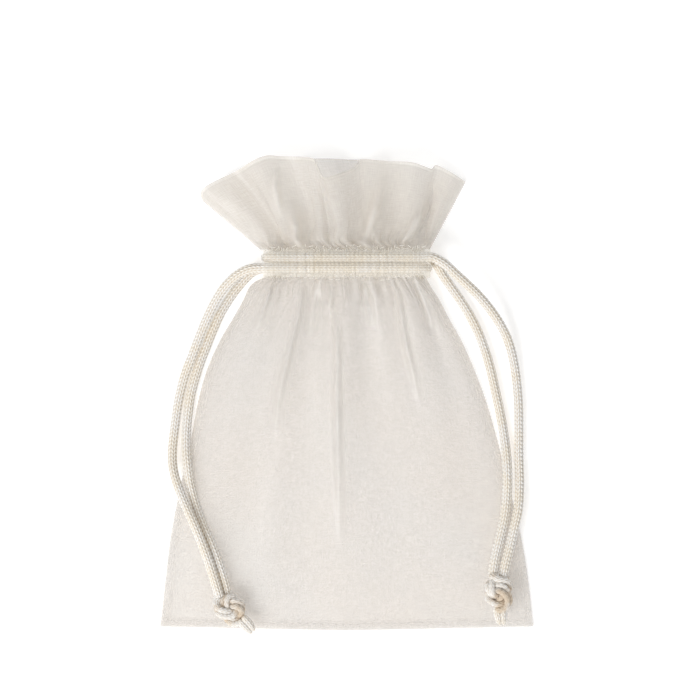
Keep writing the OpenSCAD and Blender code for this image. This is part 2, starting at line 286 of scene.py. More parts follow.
# %% Mesh builder
def make_mesh(name, parts, material):
    points, quads, triangles, heights, places, start = [], [], [], [], [], 0
    for part in parts:
        points.append(part["points"])
        quads.append(part["quads"] + start)
        triangles.append(part.get("triangles", np.zeros((0, 3), int)) + start)
        heights.append(part.get("height", np.zeros(len(part["points"]))))
        places.append(part["place"])
        start += len(part["points"])
    points, quads, triangles = np.vstack(points), np.vstack(quads), np.vstack(triangles)
    corners = np.concatenate([quads.reshape(-1), triangles.reshape(-1)]).astype(np.int32)
    sizes = np.concatenate([np.full(len(quads), 4), np.full(len(triangles), 3)]).astype(np.int32)
    mesh = bpy.data.meshes.new(name)
    mesh.vertices.add(len(points))
    mesh.vertices.foreach_set("co", (points * MM).astype(np.float32).reshape(-1))
    mesh.loops.add(len(corners))
    mesh.loops.foreach_set("vertex_index", corners)
    mesh.polygons.add(len(sizes))
    mesh.polygons.foreach_set("loop_start", np.concatenate([[0], np.cumsum(sizes)[:-1]]).astype(np.int32))
    mesh.polygons.foreach_set("loop_total", sizes)
    mesh.update(calc_edges=True)
    mesh.validate()
    mesh.polygons.foreach_set("use_smooth", np.ones(len(sizes), bool))
    relief = mesh.attributes.new("Relief", "FLOAT", "POINT")
    relief.data.foreach_set("value", np.concatenate(heights).astype(np.float32))
    flat = mesh.uv_layers.new(name="Flat")
    flat.data.foreach_set("uv", (np.vstack(places)[corners] * MM).astype(np.float32).reshape(-1))
    mesh.materials.append(material)
    piece = bpy.data.objects.new(name, mesh)
    bpy.context.scene.collection.objects.link(piece)
    return piece


print("each mesh gets a Relief attribute and a Flat map")

# %% [markdown]
# ## Satin finish of the cord
#
# Satin yarn is smooth and pearly white, and shines where it faces the light. Down where one loop dips under
# the next, tan is painted in as painted shade. The loop height drives the colour between those two. A fine
# noise, stretched along the yarn, breaks up the shine the way single filaments do, and a broad noise makes
# some stretches a little yellower.
#
# First come four helpers, because every finish here is a small tree of nodes.

# %% Helpers for materials
def node(tree, kind, place, **inputs):
    """Adds a node. Inputs are named as its sockets are, with _ for a space."""
    made = tree.nodes.new(kind)
    made.location = place
    for key, value in inputs.items():
        made.inputs[key.replace("_", " ")].default_value = value
    return made


def new_material(name):
    material = bpy.data.materials.new(name)
    material.use_nodes = True
    tree = material.node_tree
    tree.nodes.clear()
    output = node(tree, "ShaderNodeOutputMaterial", (900, 0))
    return material, tree, output


def ramp(tree, place, stops):
    """A colour ramp with these stops, each a position and a colour."""
    made = node(tree, "ShaderNodeValToRGB", place)
    bar = made.color_ramp.elements
    while len(bar) < len(stops):
        bar.new(0.5)
    for element, (position, colour) in zip(bar, stops):
        element.position = position
        element.color = (*colour, 1.0)
    return made


def relief_of(tree, place):
    """Reads the Relief attribute: a loop's height on a cord, a crease on a cloth."""
    made = node(tree, "ShaderNodeAttribute", place)
    made.attribute_name = "Relief"
    return made.outputs["Fac"]


print("helpers", node.__name__, new_material.__name__, ramp.__name__, relief_of.__name__)

# %% [markdown]
# The colour is a ramp from painted tan shade in the gaps to the yarn's white on the crests, times the broad
# patch colour. The crests are also smoother than the gaps, so only they shine.

# %% Cord material
# Painted shade: the gap colour lies down between the loops and the side colour is a lighter shade. The crest
# is the yarn's own white.
cord_gap_painted_shade = (0.50, 0.39, 0.27)
cord_side_half_painted_shade = (0.87, 0.81, 0.73)
cord_crest_colour = (1.0, 0.99, 0.97)
plain_white = (1.0, 1.0, 1.0)
gap_roughness, crest_roughness = 0.62, 0.34


def satin_cord(name, yellowing_and_painted_shade):
    """Satin yarn with painted shade in its gaps. Patches of the cord take the patch colour: yellowing on the
    plain cord, painted shade in the knots.
    """
    material, tree, output = new_material(name)
    link = tree.links.new
    height = relief_of(tree, (-700, 100))
    where = node(tree, "ShaderNodeTexCoord", (-900, -250))
    # Ramp by loop height, from painted shade in the gaps to the white crests.
    yarn = ramp(
        tree, (-450, 100), [(0.0, cord_gap_painted_shade), (0.45, cord_side_half_painted_shade), (0.9, cord_crest_colour)]
    )
    broad = node(tree, "ShaderNodeTexNoise", (-650, -250), Scale=160.0, Detail=2.0)
    # Patch colour: yellowing on the plain cord, tan painted shade in the knots.
    patch_ramp = ramp(tree, (-450, -250), [(0.42, yellowing_and_painted_shade), (0.6, plain_white)])
    mixed = node(tree, "ShaderNodeMix", (-100, 50))
    mixed.data_type = "RGBA"
    mixed.blend_type = "MULTIPLY"
    mixed.inputs["Factor"].default_value = 1.0
    stretch = node(tree, "ShaderNodeMapping", (-600, -500), Scale=(900.0, 4200.0, 1.0))
    fibres = node(tree, "ShaderNodeTexNoise", (-350, -500), Scale=1.0, Detail=2.0)
    bump = node(tree, "ShaderNodeBump", (250, -400), Strength=0.35, Distance=0.00012)
    rough = ramp(tree, (150, -150), [(0.0, (gap_roughness,) * 3), (1.0, (crest_roughness,) * 3)])
    shader = node(
        tree, "ShaderNodeBsdfPrincipled", (600, 0),
        Specular_IOR_Level=0.45, Sheen_Weight=0.25, Sheen_Roughness=0.4,
    )
    link(height, yarn.inputs["Fac"])
    link(where.outputs["Object"], broad.inputs["Vector"])
    link(broad.outputs["Fac"], patch_ramp.inputs["Fac"])
    link(yarn.outputs["Color"], mixed.inputs["A"])
    link(patch_ramp.outputs["Color"], mixed.inputs["B"])
    link(mixed.outputs["Result"], shader.inputs["Base Color"])
    link(where.outputs["UV"], stretch.inputs["Vector"])
    link(stretch.outputs["Vector"], fibres.inputs["Vector"])
    link(fibres.outputs["Fac"], bump.inputs["Height"])
    link(bump.outputs["Normal"], shader.inputs["Normal"])
    link(height, rough.inputs["Fac"])
    link(rough.outputs["Color"], shader.inputs["Roughness"])
    link(shader.outputs["BSDF"], output.inputs["Surface"])
    return material


cord_satin = satin_cord("satin_cord", (1.0, 0.97, 0.91))
print("material", cord_satin.name)

# %% [markdown]
# In the knots the same cord is pressed together. Tan patches are painted on it as painted shade, standing for
# yarn that lies tightly on yarn, where little light gets between. A broad noise places them, not the knot's
# shape. It is the same finish with tan painted shade as its patch colour.

# %% Pressed cord material
# The tan patches on the knots are painted shade.
knot_cord_painted_shade = satin_cord("knot_cord_painted_shade", (0.80, 0.70, 0.58))
print("material", knot_cord_painted_shade.name)

# %% [markdown]
# ## The tails, and the runs inside the casing
#
# A tail is a free cord that follows its route. Inside the casing the cord is held by the cloth: it runs
# through the front, turns round at the far side and comes back through the back.

# %% Tails and inner runs
front_z, back_z = 12.2, 2.4  # heights of the cords over the table
turn_x = 21.0  # where the far turn begins
leave_x = 25.2  # where the run ends, a little past the start of its tails, so that no gap shows
turn_radius = (front_z - back_z) / 2
run_points = 30
cord_rows = {"left": 40.3, "right": 43.7}  # each cord's place in the neck


def inner_route(sign, y):
    """From the front exit, round the far end and back to the back exit. sign is -1 for the left cord."""
    swing = np.linspace(0, np.pi, 25)[1:-1]
    arc_x = -sign * (turn_x + turn_radius * np.sin(swing))
    arc_z = (front_z + back_z) / 2 + turn_radius * np.cos(swing)
    out_x = np.linspace(sign * leave_x, -sign * turn_x, run_points)
    x = np.concatenate([out_x, arc_x, np.linspace(-sign * turn_x, sign * leave_x, run_points)])
    z = np.concatenate([np.full(run_points, front_z), arc_z, np.full(run_points, back_z)])
    return np.stack([x, np.full(len(x), y), z], -1)


def hand_in(piece, slot, *nodes):
    """Hides the CAD nodes that a piece stands for. piece and slot are not used."""
    if nodes:
        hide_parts(*nodes)


tails = {}
for side, sign in (("left", -1), ("right", 1)):
    run = inner_route(sign, cord_rows[side])
    inner = make_mesh(f"{side}_cord_through_casing", [knit(run)], cord_satin)
    hand_in(inner, "cord", f"{side}_cord_front_run", f"{side}_cord_turn", f"{side}_cord_back_run")
    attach(inner, f"{side}_drawstring")
    for where, route in zip(("front", "back"), routes[side]):
        line = smooth(route)
        tail = make_mesh(f"{side}_{where}_tail", [knit(line)], cord_satin)
        hand_in(tail, "cord", f"{side}_cord_{where}_tail")
        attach(tail, f"{side}_drawstring")
        tails[side, where] = (tail, line)
    print(side, "inner run", round(lengths_along(run)[-1], 1), "mm")

# %% [markdown]
# ## The knots
#
# The two tails are tied together in one overhand knot. Drawing such a knot by hand is hard, so it is tied
# the way a real one is: two soft strings start side by side in a loose overhand loop, they are slowly
# shortened, and no two pieces may come nearer than a string's width. After a few hundred small steps the
# knot has pulled itself tight.
#
# The loose loop is a trefoil, wound on a ring and cut open, with its two ends led out.

# %% Loose overhand loop
string_points = 100
string_d = 2.35
loop_ring, loop_swing = 7.0, 4.2  # radius of the ring, and how far the string swings round it
loop_rise = 1.2  # height of the swing, as a share of its width
lead_shift, lead_length = 6.0, 22.0
side_by_side = 0.55  # how far each string lies from the middle line, in string widths


def loose_overhand(sideways):
    """One string of a loose overhand knot in mm, moved sideways from the middle line."""
    t = np.linspace(0, 2 * np.pi, 1200)[12:-12]
    ring = loop_ring + loop_swing * np.cos(3 * t)
    wound = np.stack([ring * np.cos(2 * t), ring * np.sin(2 * t), loop_rise * loop_swing * np.sin(3 * t)], -1)
    lead = np.linspace(0, 1, 60)[:, None]
    lead_in = wound[0] + np.array([lead_shift, -lead_length, 0.0]) * lead[::-1]
    lead_out = wound[-1] + np.array([lead_shift, lead_length, 0.0]) * lead
    line = np.vstack([lead_in[:-1], wound, lead_out[1:]])
    line = np.stack([line[:, 1], -line[:, 0], line[:, 2]], -1)
    side = frames_along(line)[2]
    return at_lengths(line + sideways * side, np.linspace(0, lengths_along(line)[-1], string_points))


loose_strings = [loose_overhand(way * side_by_side * string_d) for way in (-1, 1)]
print("loose strings are", [round(lengths_along(s)[-1], 1) for s in loose_strings], "mm long")

# %% [markdown]
# Each step shortens the strings a little and then settles them: first every segment is brought to its
# length, then bends are eased, then points that are too near each other are pushed apart. It ends when the
# strings would have to stretch to get shorter.

# %% Pull the knot tight
shortening = 0.9965  # of the strings, each step
most_steps = 700
end_reach = 7.0  # how far from the middle the four ends are held
ends_settled = 0.4  # share of the steps in which the ends are brought to where they are held
settle_rounds = 4
give = 0.45  # how much of an error is put right at once
easing = 0.2  # how much of a bend is eased in a step
near_along = 1.4  # points this near along a string, in widths, don't push each other
most_stretch = 1.12


def push_apart(points, may_touch):
    """Moves points apart that are nearer than a string's width."""
    between = points[:, None] - points[None]
    distance = np.linalg.norm(between, axis=2)
    a, b = np.nonzero(may_touch & (distance < string_d))
    d = distance[a, b][:, None]
    push = between[a, b] / np.maximum(d, 1e-6) * (string_d - d) * give
    moved, hits = np.zeros_like(points), np.ones(len(points))
    np.add.at(moved, a, push)
    np.add.at(moved, b, -push)
    np.add.at(hits, a, 1)
    np.add.at(hits, b, 1)
    points += moved / np.sqrt(hits)[:, None]


def tighten(strings):
    """Shortens both strings, holding their ends, until they would have to stretch to get shorter."""
    count = string_points
    points = np.vstack(strings)
    ends = np.array([0, count - 1, count, 2 * count - 1])
    begin = points[ends].copy()
    beside = string_d / 2 * np.array([-1, -1, 1, 1])
    held = np.stack([np.sign(begin[:, 0]) * end_reach, beside, np.zeros(4)], -1)
    first = np.concatenate([np.arange(count - 1), np.arange(count, 2 * count - 1)])
    inner = np.setdiff1d(np.arange(1, 2 * count - 1), [count - 1, count])
    spacing = np.linalg.norm(points[first + 1] - points[first], axis=1).mean()
    index = np.arange(2 * count)
    same = (index[:, None] // count) == (index[None] // count)
    pairs = np.triu(np.ones((2 * count, 2 * count), bool), 1)
    for step in range(most_steps):
        share = min(1.0, step / (ends_settled * most_steps))
        held_now = begin * (1 - share) + held * share
        points[ends] = held_now
        spacing *= shortening
        skip = max(2, int(np.ceil(near_along * string_d / spacing)))
        may_touch = pairs & ~(same & (np.abs(index[:, None] - index[None]) < skip))
        for _ in range(settle_rounds):
            gap = points[first + 1] - points[first]
            length = np.linalg.norm(gap, axis=1)[:, None]
            push = gap / np.maximum(length, 1e-9) * (length - spacing) * give
            np.add.at(points, first, push)
            np.add.at(points, first + 1, -push)
            points[ends] = held_now
        points[inner] += easing * (0.5 * (points[inner - 1] + points[inner + 1]) - points[inner])
        for _ in range(settle_rounds):
            push_apart(points, may_touch)
            points[ends] = held_now
        stretched = np.linalg.norm(points[first + 1] - points[first], axis=1).mean() / spacing
        if step > most_steps / 2 and stretched > most_stretch:
            break
    print("knot tight after", step, "steps")
    return points[:count], points[count:]


knot_strings = tighten(loose_strings)

# %% [markdown]
# The knot is then brought to the real one's size, turned so that the tails come into it, pressed a little
# flat, and skinned with the same knitted cord. The cord is squeezed thin where it is pulled tight. Below
# the knot the two ends stick out a few millimetres and come to a point, where they are heat-sealed so that
# the yarn does not fray.

# %% Knots and cut ends
knot_size = 0.76
knot_flatness = 0.85
knot_join = 6.0  # length over which a tail runs into its string
knot_fullness = 1.06  # how far the tight strings press into each other
tip_reach = 11.5  # from the knot's middle to the end of its tips
tip_overlap = 0.8  # how far a tip starts inside the knot
tip_gathering = 0.35  # how far the two tips lean together
tip_places, tip_widths = [0.0, 1.6, 3.0, 5.2, 6.6], [1.9, 2.5, 2.7, 1.9, 0.5]
# Each knot's middle in mm, how far it is turned in the plan and how far it is rolled over, in degrees
knot_places = {"left": ((-37.0, -68.0, 7.0), -48.0, 0.0), "right": ((48.0, -63.0, 7.2), -82.0, 180.0)}


def place_knot(points, middle, turned, rolled):
    a, b = math.radians(turned), math.radians(rolled)
    x, y, z = points.T * knot_size
    y, z = y * math.cos(b) - z * math.sin(b), (y * math.sin(b) + z * math.cos(b)) * knot_flatness
    return np.stack([x * math.cos(a) - y * math.sin(a), x * math.sin(a) + y * math.cos(a), z], -1) + middle


def knot_thickness(along):
    tight = string_d * knot_size * knot_fullness
    return tight + (cord_d - tight) * np.clip(1 - along / knot_join, 0, 1) ** 1.5


def tip_thickness(along):
    return np.interp(along, tip_places, tip_widths)


knots, tips = {}, {}
for side, (middle, turned, rolled) in knot_places.items():
    placed = [place_knot(s, np.array(middle), turned, rolled) for s in knot_strings]
    ends = [tails[side, where][1][-1] for where in ("front", "back")]
    if np.linalg.norm(placed[0][0] - ends[0]) > np.linalg.norm(placed[1][0] - ends[0]):
        placed.reverse()
    knot_parts, tip_parts = [], []
    direction = np.array([math.cos(math.radians(turned)), math.sin(math.radians(turned)), 0.0])
    for string, end in zip(placed, ends):
        along = lengths_along(string)[:, None]
        string = string + (end - string[0]) * np.clip(1 - along / knot_join, 0, 1) ** 2
        knot_parts.append(knit(even(string, 0.5), knot_thickness))
        reach = np.linspace(0, tip_reach - end_reach * knot_size, 12)[:, None]
        inward = (np.array(middle) - string[-1]) * tip_gathering * (reach / reach[-1]) ** 2
        inward -= direction * (inward @ direction)[:, None]
        tip_parts.append(knit(string[-1] + direction * (reach - tip_overlap) + inward, tip_thickness))
    knots[side] = make_mesh(f"{side}_tied_knot", knot_parts, knot_cord_painted_shade)
    tips[side] = make_mesh(f"{side}_cut_ends", tip_parts, cord_satin)
    hand_in(knots[side], "cord", f"{side}_knot")
    hand_in(tips[side], "cord", f"{side}_cord_tips")
    for piece in (knots[side], tips[side]):
        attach(piece, f"{side}_drawstring")
    print(side, "knot has", len(knots[side].data.polygons), "faces")

# %% [markdown]
# Each tail is a limp cord of a known length that leaves the casing and ends in the knot. Its length is
# printed.

for (side, where), (tail, line) in tails.items():
    length = lengths_along(line)[-1] * MM
    print(side, where, "tail", round(length * 1000, 1), "mm")

# %% [markdown]
# ## How gathered cloth is laid
#
# The flat cloth is 120 mm wide, and at the neck it has to fit in 50 mm, so the rest stands up in folds.
# Along any one row of the weave the cloth is a line of fixed length that swings left and right as it goes.
# If the swing angle follows a sine, the line makes even, rounded folds, and one number, how far it swings,
# decides how much room the row takes. So each row below is given its fold pattern, and that one number is
# found by halving.
#
# Fine pleats at the stitching merge into broader folds further down, which is just a change in the mix of
# patterns. At the neck most of the spare cloth stands in folds. Away from it only a share of the spare
# cloth is laid in, so that the body stays smooth. That is a shortcut: those rows are shorter than the real
# cloth, whose spare width has to go somewhere.

# %% Fold patterns
cloth_half = 60.0
columns = 300
across = np.linspace(-cloth_half, cloth_half, columns + 1)
across_step = across[1] - across[0]


def fold_family(folds, phase, wander, bend):
    """Swing pattern with that many folds across the cloth. wander makes their spacing uneven."""
    moved = across + wander * np.sin(2 * np.pi * across / bend + phase)
    moved = moved + 0.4 * wander * np.sin(across / 5.3 + 2 * phase)
    return np.sin(2 * np.pi * folds * moved / (2 * cloth_half) + phase)


def fade_at_edges(reach):
    """1 over most of the cloth, falling to 0 at its two side edges."""
    return np.clip((cloth_half - np.abs(across)) / reach, 0, 1)


def coming_in(distance, reach):
    return 1 - np.exp(-distance / reach)


def dying_out(distance, reach, power):
    return np.exp(-((distance / reach) ** power))


print("each row of cloth has", columns, "steps of", across_step, "mm")

# %% [markdown]
# Folds that differ in width also make a row drift slowly up and down between its ends, so most of that
# drift is taken out again and the folds stand on the base line.

# %% Lay rows of cloth
most_swing = 2.35  # radians either way
halvings = 28
trend_reach = 30  # steps either side that a fold's level is averaged over
trend_share = 0.7  # how much of that level is taken out
still_edge = 9.0  # width of the border that lies down flat


def settle(pattern, room, cloth):
    """Places of the cloth along and above each row, so that this much cloth fits in this much room."""
    low, high = np.zeros(len(pattern)), np.full(len(pattern), most_swing)
    for _ in range(halvings):
        swing = (low + high) / 2
        taken = np.cos(swing[:, None] * pattern).mean(axis=1) * cloth
        low, high = np.where(taken > room, swing, low), np.where(taken > room, high, swing)
    angle = ((low + high) / 2)[:, None] * pattern
    along = np.cumsum(np.cos(angle), axis=1)
    along = (along - along[:, :1]) / (along[:, -1:] - along[:, :1]) * room[:, None]
    above = np.cumsum(np.sin(angle), axis=1) * across_step * (cloth / (2 * cloth_half))[:, None]
    above -= above[:, :1] + (above[:, -1:] - above[:, :1]) * np.linspace(0, 1, columns + 1)
    window = np.full(2 * trend_reach + 1, 1 / (2 * trend_reach + 1))
    trend = np.stack([np.convolve(np.pad(row, trend_reach, mode="edge"), window, "valid") for row in above])
    return along, above - trend_share * trend


def lay_rows(base, pattern, gather):
    """Lays cloth along base curves, one a row. gather is the share of the spare cloth that is folded in."""
    room = np.array([lengths_along(line)[-1] for line in base])
    cloth = np.maximum(room + (2 * cloth_half - room) * gather, room * 1.0001)
    along, above = settle(pattern, room, cloth)
    rows = []
    for line, places, lift in zip(base, along, above):
        fine = lengths_along(line)
        where = np.stack([np.interp(places, fine, line[:, k]) for k in range(3)], -1)
        direction = np.gradient(line, axis=0)
        direction /= np.linalg.norm(direction, axis=1)[:, None]
        direction = np.stack([np.interp(places, fine, direction[:, k]) for k in range(3)], -1)
        outward = UP - direction * (direction @ UP)[:, None]
        outward /= np.linalg.norm(outward, axis=1)[:, None]
        rows.append(where + outward * (lift * fade_at_edges(still_edge))[:, None])
    return np.array(rows)


print("folds may swing", round(math.degrees(most_swing)), "degrees either way")

# %% [markdown]
# The outline of the laid pouch isn't quite even: the left shoulder stands out a little more than the right
# one. A few half widths on each side, joined smoothly, give both edges. Between them the cloth rises in a
# low, flat-topped arch, which is highest at the neck and dies out at the bottom seam.

# %% Outline of the body
shoulder_heights = [-76, -60, -46, -30, -15, -2, 8, 17, 24, 30, 34, 36, 37.4]
left_widths = [60.0, 58.3, 56.6, 53.6, 50.2, 47.7, 44.9, 40.9, 36.8, 33.4, 31.6, 29.6, 26.6]
right_widths = [60.0, 58.3, 56.0, 52.2, 48.4, 44.6, 40.9, 36.9, 33.0, 29.9, 27.3, 26.2, 25.4]
left_outline = smooth(np.stack([shoulder_heights, left_widths], -1))
right_outline = smooth(np.stack([shoulder_heights, right_widths], -1))
body_bottom, neck_low, neck_high = -76.0, 37.45, 46.55
body_length, casing_length, ruffle_length = 113.0, 20.0, 29.0  # of the flat cloth
base_points = 260
corner_lift = 1.3  # how far the bottom edge rises towards its corners, in the plan


def edge_at(y, outline):
    return np.interp(y, outline[:, 0], outline[:, 1])


def crown(x, y, left, right, height, fullness):
    """How high the filled-out cloth stands over the table, 0 at the seams."""
    share = np.where(x < 0, -x / left, x / right)
    down = np.clip((neck_low - y) / body_length, 0, 1)
    rise = height * np.clip(1 - down / 0.975, 0, 1) ** 0.7
    return rise * np.clip(1 - np.clip(share, 0, 1) ** 2.6, 0, 1) ** fullness


def body_base(heights, seam_z, height, fullness):
    """One smooth row at each height from edge to edge, with its points closer together near the edges."""
    lines = []
    evenly = np.linspace(-1, 1, base_points)
    spread = 0.55 * np.sin(np.linspace(-np.pi / 2, np.pi / 2, base_points)) + 0.45 * evenly
    for y in heights:
        left, right = edge_at(y, left_outline), edge_at(y, right_outline)
        x = (right - left) / 2 + (right + left) / 2 * spread
        low_edge = corner_lift * (np.abs(x) / cloth_half) * np.clip((-60 - y) / 16, 0, 1)
        lines.append(np.stack([x, y + low_edge, seam_z + crown(x, y, left, right, height, fullness)], -1))
    return lines


print("body edges at the shoulder", round(edge_at(30, left_outline), 1), round(edge_at(30, right_outline), 1))

# %% [markdown]
# A sheet becomes a thin closed shell: the cloth surface is pushed out a hair on both sides and the rim is
# closed. It is made in a left and a right half that meet in the middle. Both halves borrow the normals of the
# whole sheet, so the join can't be seen.

# %% Cloth shells
def sheet_normals(grid):
    """Unit normals of a grid of cloth, on the side that faces up."""
    normal = np.cross(np.gradient(grid, axis=1), np.gradient(grid, axis=0))
    normal /= np.maximum(np.linalg.norm(normal, axis=2), 1e-9)[..., None]
    return -normal if normal[..., 2].mean() < 0 else normal


def closed_skin(grid, outward, thickness):
    """Points and faces of a closed shell round a grid of cloth, and those of the faces that close its rim."""
    rows, cols = grid.shape[:2]
    index = np.arange(rows * cols).reshape(rows, cols)
    quad = np.stack([index[:-1, :-1], index[:-1, 1:], index[1:, 1:], index[1:, :-1]], -1).reshape(-1, 4)
    ring = np.concatenate([index[0, :-1], index[:-1, -1], index[-1, :0:-1], index[:0:-1, 0]])
    facing = np.cross(grid[:-1, 1:] - grid[:-1, :-1], grid[1:, :-1] - grid[:-1, :-1])
    if (facing * outward[:-1, :-1]).sum() < 0:
        quad, ring = quad[:, ::-1], ring[::-1]
    after, shift = np.roll(ring, -1), rows * cols
    rim = np.stack([ring, ring + shift, after + shift, after], -1)
    push = outward * thickness[..., None] / 2
    points = np.vstack([(grid + push).reshape(-1, 3), (grid - push).reshape(-1, 3)])
    return points, np.vstack([quad, quad[:, ::-1] + shift, rim]), rim


def shell_half(name, grid, normal, flat, thickness, half, material, creases):
    """A closed shell of one half of a cloth grid. creases, from 0 to 1, is where it gets a painted glint and
    is denser.
    """
    thickness = np.broadcast_to(thickness, grid.shape[:2])
    middle = columns // 2
    pick = slice(0, middle + 1) if half == "left" else slice(middle, columns + 1)
    normal = normal[:, pick]
    points, quads, rim = closed_skin(grid[:, pick], normal, thickness[:, pick])
    part = {
        "points": points,
        "quads": quads,
        "place": np.vstack([flat[:, pick].reshape(-1, 2)] * 2),
        "height": np.tile(creases[:, pick].reshape(-1), 2),
    }
    piece = make_mesh(name, [part], material)
    ups = normal.reshape(-1, 3)
    corner_normals = np.vstack([ups, -ups])[quads.reshape(-1)]
    edge_out = points[rim]
    rim_normal = np.cross(edge_out[:, 1] - edge_out[:, 0], edge_out[:, 3] - edge_out[:, 0])
    rim_normal /= np.maximum(np.linalg.norm(rim_normal, axis=1), 1e-9)[:, None]
    corner_normals[-4 * len(rim):] = np.repeat(rim_normal, 4, axis=0)
    piece.data.normals_split_custom_set(corner_normals.tolist())
    return piece


def flat_map(heights):
    """Where each point of a sheet lies on the flat cloth in mm, given each row's height on it."""
    shape = (len(heights), columns + 1)
    return np.stack([np.broadcast_to(across, shape), np.broadcast_to(heights[:, None], shape)], -1)


def kept_above(z, lowest, share=1.0):
    """Heights pushed up softly, so that none lies below the lowest. share flattens what stands above it."""
    return lowest + np.log1p(np.exp((z - lowest) * 3.0)) / 3.0 * share


def follow_neck(piece, half, start, end):
    """Bakes the piece's place into its mesh. half, start and end are not used."""
    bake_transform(piece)


print("cloth is made in halves of", columns // 2, "columns")

# %% [markdown]
# ## Organza
#
# Organza is a plain weave of fine, stiff, twisted yarn with open gaps between the threads, so about half of
# the light goes straight through. Its threads glitter where a fold turns them to the light, and look denser
# where a fold is seen on edge. The material lets part of every ray pass (a Transparent shader) and mixes it
# with a satin surface and a little light glowing through the yarn. How open the cloth is varies with slubs,
# thicker stretches of single threads, that run along the weave.
#
# Along a crease the threads lie close together and face the light. The finish makes the cloth denser there
# and paints a near-white glint on it, a painted highlight broken up by the threads. The Relief attribute,
# which holds loop heights on the cords, holds the creases on the cloth.

# %% Organza material
weave_contrast = 0.05
# Colour of the painted glint along creases.
painted_glint_colour = (1.0, 0.99, 0.97)
crease_density = 0.6
weave_bump = 0.25
organza_roughness = 0.27
glow_share = 0.42
thread_scale, slub_scale = 4200.0, 260.0


def arithmetic(tree, place, operation, *given):
    """A Math node. Each given value is a number or another node's output."""
    made = node(tree, "ShaderNodeMath", place)
    made.operation = operation
    for socket, value in zip(made.inputs, given):
        if isinstance(value, float):
            socket.default_value = value
        else:
            tree.links.new(value, socket)
    return made


def slubs(tree, where, place, scale):
    """Uneven threads: a noise stretched along one direction of the weave."""
    mapping = node(tree, "ShaderNodeMapping", place, Scale=scale)
    slub = node(tree, "ShaderNodeTexNoise", (place[0] + 220, place[1]), Scale=1.0, Detail=2.0)
    tree.links.new(where.outputs["UV"], mapping.inputs["Vector"])
    tree.links.new(mapping.outputs["Vector"], slub.inputs["Vector"])
    return slub.outputs["Fac"]


def organza(name, colour, cover, warm, sheen):
    """cover is the share of light that one pass through this surface stops."""
    material, tree, output = new_material(name)
    link = tree.links.new
    where = node(tree, "ShaderNodeTexCoord", (-1500, 0))
    warp = slubs(tree, where, (-1250, 200), (thread_scale, slub_scale, 1.0))
    weft = slubs(tree, where, (-1250, -150), (slub_scale, thread_scale, 1.0))
    weave = arithmetic(tree, (-800, 50), "ADD", warp, weft).outputs[0]
    opening = node(
        tree, "ShaderNodeMapRange", (-550, 150),
        From_Min=0.65, From_Max=1.35, To_Min=cover - weave_contrast, To_Max=cover + weave_contrast,
    )
    clouds = node(tree, "ShaderNodeTexNoise", (-1050, -500), Scale=28.0, Detail=3.0)
    tone = ramp(tree, (-550, -350), [(0.3, warm), (0.7, colour)])
    crease = relief_of(tree, (-1050, -800))
    # Painted glint: a near-white colour mixed in along the creases, broken up by the threads.
    painted_glint_amount = arithmetic(tree, (-800, -800), "MULTIPLY", crease, warp)
    painted_glint_amount.use_clamp = True
    denser = arithmetic(tree, (-300, 150), "MULTIPLY_ADD", crease, crease_density, opening.outputs["Result"])
    lit = node(tree, "ShaderNodeMix", (-250, -350))
    lit.data_type = "RGBA"
    lit.inputs["B"].default_value = (*painted_glint_colour, 1.0)
    bump = node(tree, "ShaderNodeBump", (-250, -600), Strength=weave_bump, Distance=0.0001)
    satin = node(
        tree, "ShaderNodeBsdfPrincipled", (0, 200),
        Roughness=organza_roughness, Specular_IOR_Level=1.0, Sheen_Weight=sheen, Sheen_Roughness=0.35,
    )
    glow = node(tree, "ShaderNodeBsdfTranslucent", (0, -250))
    yarn = node(tree, "ShaderNodeMixShader", (350, 50), Fac=glow_share)
    gap = node(tree, "ShaderNodeBsdfTransparent", (350, -150))
    sheer = node(tree, "ShaderNodeMixShader", (650, 0))
    link(where.outputs["UV"], clouds.inputs["Vector"])
    link(weave, opening.inputs["Value"])
    link(clouds.outputs["Fac"], tone.inputs["Fac"])
    link(painted_glint_amount.outputs[0], lit.inputs["Factor"])
    link(tone.outputs["Color"], lit.inputs["A"])
    link(weave, bump.inputs["Height"])
    link(lit.outputs["Result"], satin.inputs["Base Color"])
    link(bump.outputs["Normal"], satin.inputs["Normal"])
    link(lit.outputs["Result"], glow.inputs["Color"])
    link(satin.outputs["BSDF"], yarn.inputs[1])
    link(glow.outputs["BSDF"], yarn.inputs[2])
    link(denser.outputs[0], sheer.inputs["Fac"])
    link(gap.outputs["BSDF"], sheer.inputs[1])
    link(yarn.outputs["Shader"], sheer.inputs[2])
    link(sheer.outputs["Shader"], output.inputs["Surface"])
    return material


print("slubs are about", round(1000 / slub_scale, 1), "mm long")

# %% [markdown]
# One cloth, seen in five ways. The body is single and a little grey. The ruffle is doubled, so it is denser,
# and its front is also painted paler, as painted light. Its back side is painted darker than its front one,
# as painted shade on the same cloth: it makes the dip in the front edge readable. The casing is stretched
# thin over the cords and is painted lighter and warmer, as painted light, and the seam allowances are barely
# there.

# %% Five finishes of the cloth
cream, warm_side = (0.795, 0.77, 0.74), (0.81, 0.77, 0.725)
body_cloth = organza("sheer_organza", cream, 0.29, warm_side, 0.6)
# The ruffle's back side: the same cloth painted darker, as painted shade.
shaded_doubled_cloth = organza("doubled_organza_painted_shade", (0.76, 0.735, 0.71), 0.38, (0.74, 0.71, 0.67), 0.3)
# The ruffle's front side: the same cloth painted paler, as painted light.
doubled_cloth = organza("doubled_organza", (0.92, 0.89, 0.845), 0.36, (0.91, 0.86, 0.795), 0.6)
